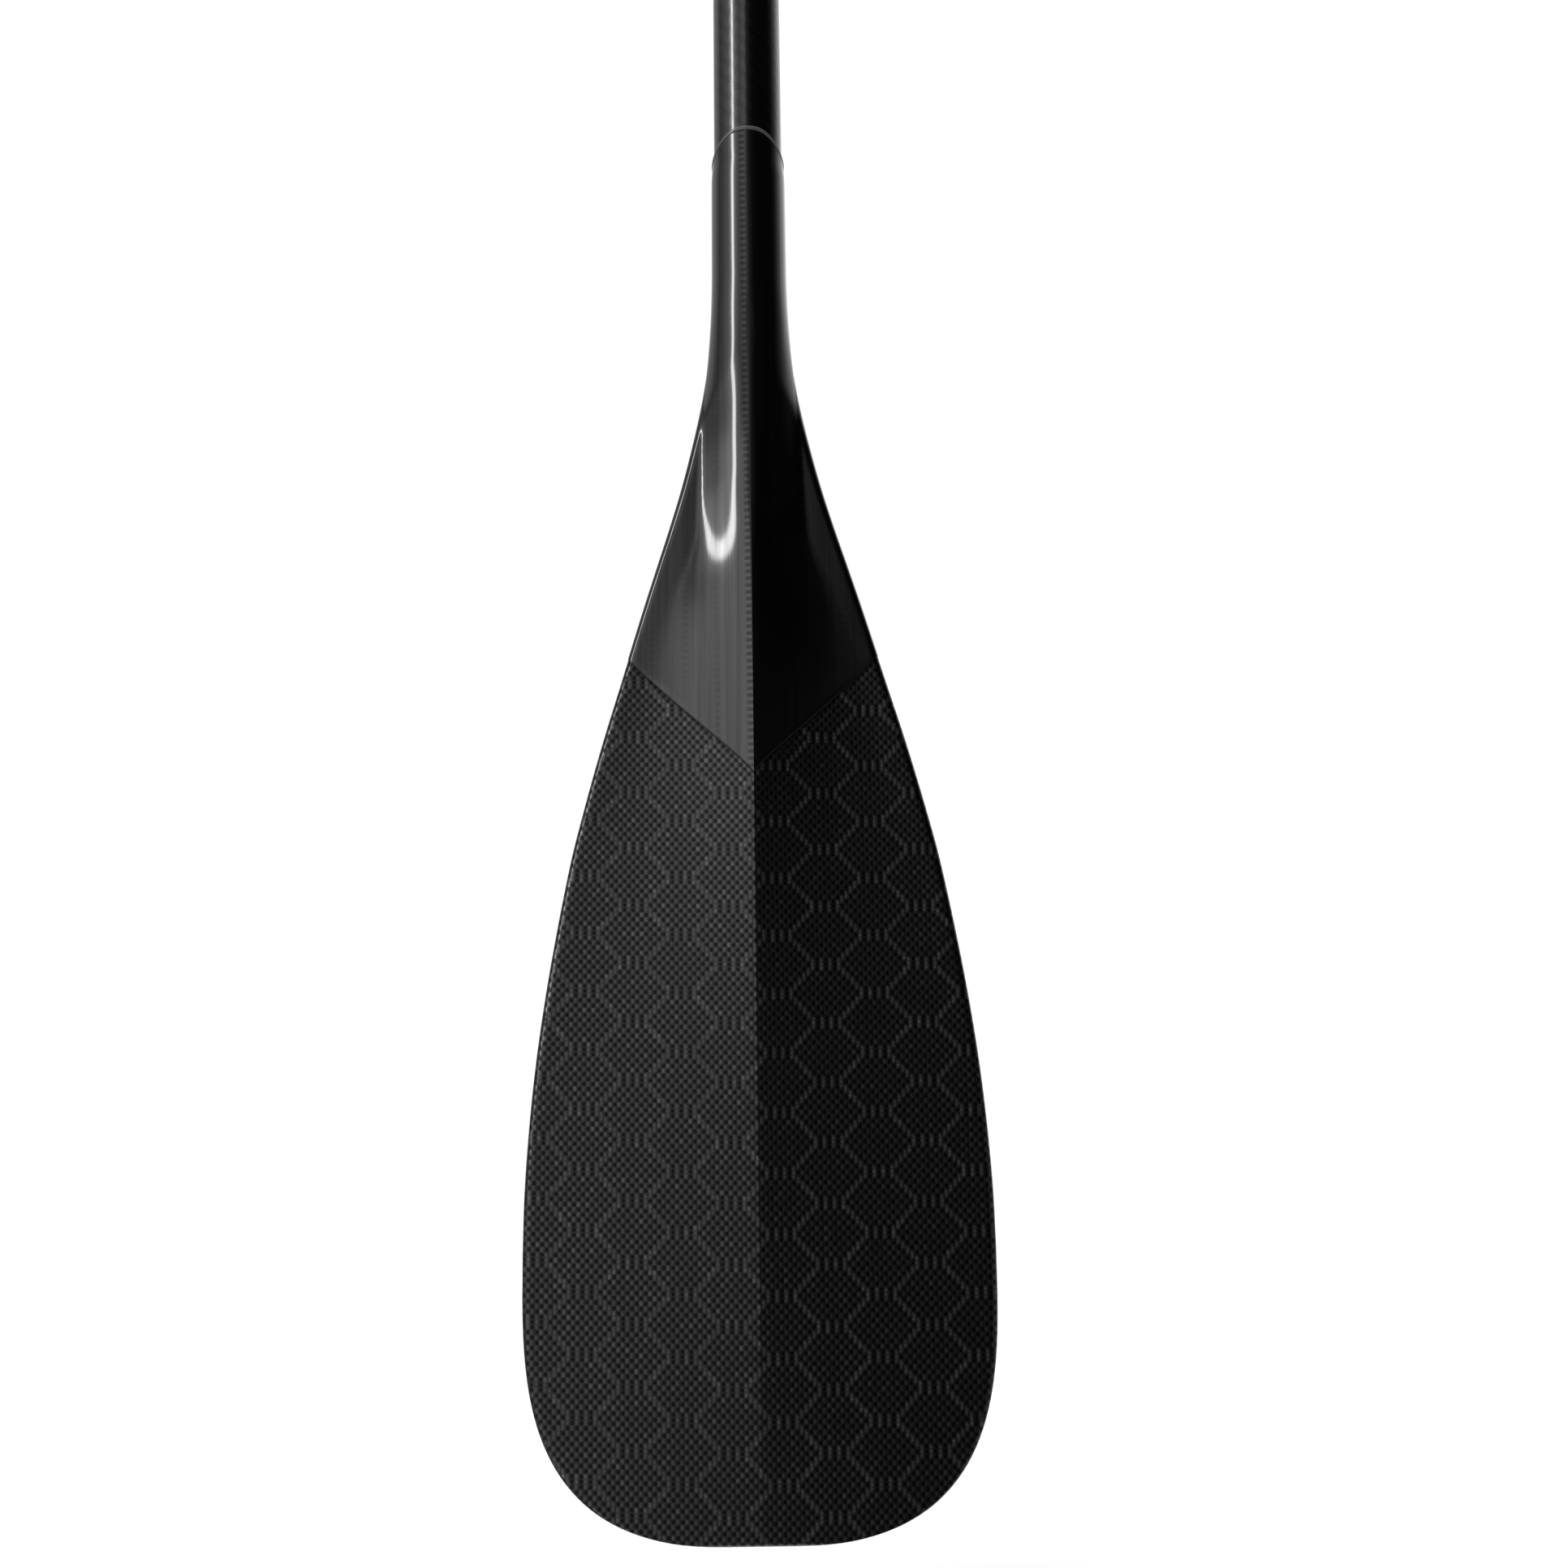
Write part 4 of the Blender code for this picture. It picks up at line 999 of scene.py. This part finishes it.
def make_lever():
    """Cam lever with rounded edges, forked round the screw."""
    outline = np.array(lever_outline())
    ahead, behind = np.roll(outline, -1, axis=0), np.roll(outline, 1, axis=0)
    tangent = ahead - behind
    tangent /= np.linalg.norm(tangent, axis=1)[:, None]
    normal = np.stack([tangent[:, 1], -tangent[:, 0]], axis=1)
    round_off = 1.1
    levels = []
    for degrees in (0, 18, 36, 54, 72, 90):
        a = math.radians(degrees)
        levels.append((round_off * (1 - math.sin(a)), -10 + round_off * (1 - math.cos(a))))
    levels += [(inset, -z) for inset, z in reversed(levels)]
    count = len(outline)
    points, faces = [], []
    for inset, z in levels:
        ring = outline - normal * inset
        points += [(x * MM, y * MM, (z + BOLT_Z) * MM) for x, y in ring]
    for i in range(len(levels) - 1):
        for j in range(count):
            a, b = i * count + j, i * count + (j + 1) % count
            faces.append((a, b, b + count, a + count))
    faces.append(tuple(range(count))[::-1])
    faces.append(tuple(range((len(levels) - 1) * count, len(levels) * count)))
    mesh = bpy.data.meshes.new("lever")
    mesh.from_pydata(points, [], faces)
    outward(mesh)
    fork = box_mesh((19.3, -50, BOLT_Z - FORK_HALF), (40, 0, BOLT_Z + FORK_HALF))
    hole = drill("pin_hole", PIN_HOLE, 48)
    placed(hole, (BOLT_X, PIN_Y, BOLT_Z))
    mesh = cut(mesh, ("DIFFERENCE", fork), ("DIFFERENCE", hole))
    show("clamp_lever_moulded", smooth(mesh), "clamp_lever", "grey_nylon", "clamp_lever")


def make_hardware():
    """Barrel pin, socket screw, washer and the cam's wear plate."""
    cross = drill("cross", BOLT_HOLE, 32)
    placed(cross, (BOLT_X, 0, BOLT_Z), ALONG_Y)
    pin = rod_mesh("pin", rounded(
        [(0, -9.5), (2.6, -9.5), (3.0, -9.1), (3.0, 9.1), (2.6, 9.5), (0, 9.5)],
        [0, 0.2, 0.2, 0.2, 0.2, 0], 3))
    placed(pin, (BOLT_X, PIN_Y, BOLT_Z))
    mesh = cut(pin, ("DIFFERENCE", cross.copy()))
    show("barrel_pin_turned", smooth(mesh), "barrel_pin", "steel", "cam_pin")

    head, seat, end = 12.6, 8.6, PIN_Y - 3.0
    screw = rounded([
        (0, head), (3.1, head), (3.5, head - 0.4), (3.5, seat), (2.0, seat), (2.0, end + 0.4),
        (1.6, end), (0, end),
    ], [0, 0.3, 0.3, 0.1, 0.1, 0.1, 0.2, 0], 3)
    screw = placed(rod_mesh("screw", screw), (BOLT_X, 0, BOLT_Z), ALONG_Y)
    socket = rod_mesh("socket", [(0, -2.5), (1.75, -2.5), (1.75, 2.5), (0, 2.5)], 6)
    placed(socket, (BOLT_X, head, BOLT_Z), ALONG_Y)
    mesh = cut(screw, ("DIFFERENCE", socket))
    show("clamp_bolt_turned", smooth(mesh), "clamp_bolt", "steel", "tension_screw")

    washer = rounded([(BOLT_HOLE, 1.0), (4.2, 1.0), (4.2, 0.0), (BOLT_HOLE, 0.0)], 0.2)
    mesh = placed(ring_mesh("washer", washer, 48), (BOLT_X, 7.3, BOLT_Z), ALONG_Y)
    show("bolt_washer_turned", smooth(mesh), "bolt_washer", "steel", "right_half")

    plate = soften(box_mesh((17.8, -8.5, BOLT_Z - 9), (29.5, -7.3, BOLT_Z + 9)), 0.25, 3)
    mesh = cut(plate, ("DIFFERENCE", cross))
    show("cam_pad_plate", smooth(mesh), "cam_pad", "steel", "right_half")


for blade_side in ("right", "left"):
    for face_name, face_sign in (("front", -1), ("back", 1)):
        make_skin(blade_side, face_name, face_sign)
        make_wrap(blade_side, face_name, face_sign)
    make_shaft(blade_side)
    make_seam_ring(blade_side)
    make_drip_ring(blade_side)
    make_core(blade_side)
    for node_name, slot_name in (("neck_spar", "spar"), ("shaft_plug", "foam")):
        inner_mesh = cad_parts[f"{blade_side}_{node_name}"].data
        inner_mesh.materials.clear()
        inner_mesh.materials.append(LOOKS[slot_name])
make_insert()
make_index_ring()
make_collar()
make_lever()
make_hardware()


# ---- floor, light and camera ----

FLOOR_DROP = 50.0
TIP_TO_EYE = 166.65
EYE_OFFSET = 10.1
EYE_DISTANCE = 588.8
TILT = math.radians(11.09)
VIEW_ANGLE = math.radians(54.7)
LEAN = math.radians(0.81)


def make_floor():
    mesh = bpy.data.meshes.new("floor")
    shape = bmesh.new()
    bmesh.ops.create_circle(shape, cap_ends=True, segments=128, radius=9.0)
    shape.to_mesh(mesh)
    shape.free()
    made, _, shader = material("pale_floor", 0.0, 0.8)
    shader.inputs["Base Color"].default_value = (0.9, 0.9, 0.9, 1.0)
    mesh.materials.append(made)
    floor = bpy.data.objects.new("floor", mesh)
    floor.location.z = -(HALF_LENGTH + FLOOR_DROP) * MM
    floor.visible_glossy = False
    bpy.context.scene.collection.objects.link(floor)


# Studio round the paddle: brightness by compass angle, 0 in front of the ridged side, 90 at its
# left and -90 at its right, for light from above 25 degrees, from 8 to 16, and from below -7
STUDIO_HIGH = [
    (-180, 0.95), (-149, 0.95), (-122, 0.67), (-104, 0.22), (-89, 0.05), (-76, 0.012),
    (-42, 0.012), (-30, 0.015), (-16, 0.02), (-6, 0.07), (1, 0.14), (5, 0.40), (10, 0.62),
    (16, 0.50), (26, 0.38), (38, 0.8), (44, 1.3), (46, 7.5), (52, 7.5), (54, 1.3), (66, 0.6),
    (87, 0.32), (100, 0.2), (118, 0.42), (142, 0.4), (180, 0.9),
]
STUDIO_LEVEL = [
    (-180, 0.95), (-149, 0.95), (-122, 0.67), (-104, 0.22), (-89, 0.05), (-76, 0.012),
    (-42, 0.009), (-26, 0.009), (-17, 0.02), (-9, 0.05), (-4, 0.055), (0, 0.13), (4, 0.36),
    (11, 0.48), (15, 0.78), (20, 0.85), (38, 0.9), (44, 1.3), (46, 7.5), (52, 7.5), (54, 1.5),
    (66, 1.2), (87, 0.45), (100, 0.25), (118, 0.36), (142, 0.4), (180, 0.9),
]
STUDIO_LOW = [
    (-180, 0.9), (-120, 0.4), (-90, 0.26), (-36, 0.18), (-23, 0.05), (-15, 0.035), (-6, 0.05),
    (-2, 0.07), (2, 0.20), (8, 0.29), (14, 0.62), (40, 0.55), (60, 0.45), (90, 0.25), (130, 0.35),
    (180, 0.9),
]
BRIGHTEST = 8.0
OVERHEAD = 2.6
BACKDROP = 1.05


def brightness(g, table, turn):
    """Brightness all round, from a table. The ramp holds its square root, so as to stay below 1."""
    ramp = g.node("ValToRGB")
    g.put(ramp.inputs[0], turn)
    stops = ramp.color_ramp.elements
    for index, (degrees, bright) in enumerate(table):
        stop = stops[index] if index < 2 else stops.new(1.0)
        stop.position = degrees / 360 + 0.5
        level = math.sqrt(bright / BRIGHTEST)
        stop.color = (level, level, level, 1.0)
    return g.times(g.math("POWER", ramp.outputs[0], 2.0), BRIGHTEST)


def make_world():
    """White behind the paddle, a soft box overhead, a dark right side, a bright strip at left."""
    world = bpy.data.worlds.new("studio")
    bpy.context.scene.world = world
    world.use_nodes = True
    g = Graph(world.node_tree)
    x, y, z = g.split(g.node("TexCoord").outputs["Generated"])
    angle = g.math("ARCTAN2", g.times(x, -1.0), g.times(y, -1.0))
    turn = g.add(g.times(angle, 1 / (2 * math.pi)), 0.5)
    high, level, low = [
        brightness(g, table, turn) for table in (STUDIO_HIGH, STUDIO_LEVEL, STUDIO_LOW)
    ]
    lower = g.mix(g.step(z, -0.12, 0.14), low, level)
    round_about = g.mix(g.step(z, 0.28, 0.42), lower, high)
    light = g.mix(g.step(z, 0.78, 0.92), round_about, OVERHEAD)
    seen = g.node("LightPath").outputs["Is Camera Ray"]
    background = world.node_tree.nodes["Background"]
    background.inputs["Color"].default_value = (1.0, 1.0, 1.0, 1.0)
    g.put(background.inputs["Strength"], g.mix(seen, light, BACKDROP))


def make_lights():
    lamp = bpy.data.lights.new("soft_key", "AREA")
    lamp.shape = "RECTANGLE"
    lamp.size, lamp.size_y = 2.0, 3.0
    lamp.energy = 42.0
    key = bpy.data.objects.new("soft_key", lamp)
    key.location = (-0.4, -1.8, 2.6)
    key.rotation_euler = (Vector((0, 0, -0.2)) - key.location).to_track_quat("-Z", "Y").to_euler()
    key.visible_glossy = False
    bpy.context.scene.collection.objects.link(key)


def make_camera():
    """In front of the right blade's ridged side, low down and looking up along the neck."""
    lens = bpy.data.cameras.new("camera")
    lens.sensor_fit = "HORIZONTAL"
    lens.angle = VIEW_ANGLE
    lens.clip_start = 0.01
    camera = bpy.data.objects.new("camera", lens)
    camera.location = (
        EYE_OFFSET * MM, -EYE_DISTANCE * MM, (TIP_TO_EYE - HALF_LENGTH) * MM,
    )
    camera.rotation_euler = (math.pi / 2 + TILT, LEAN, 0)
    bpy.context.scene.collection.objects.link(camera)
    bpy.context.scene.camera = camera


make_floor()
make_world()
make_lights()
make_camera()
bpy.context.scene.view_settings.view_transform = "Standard"
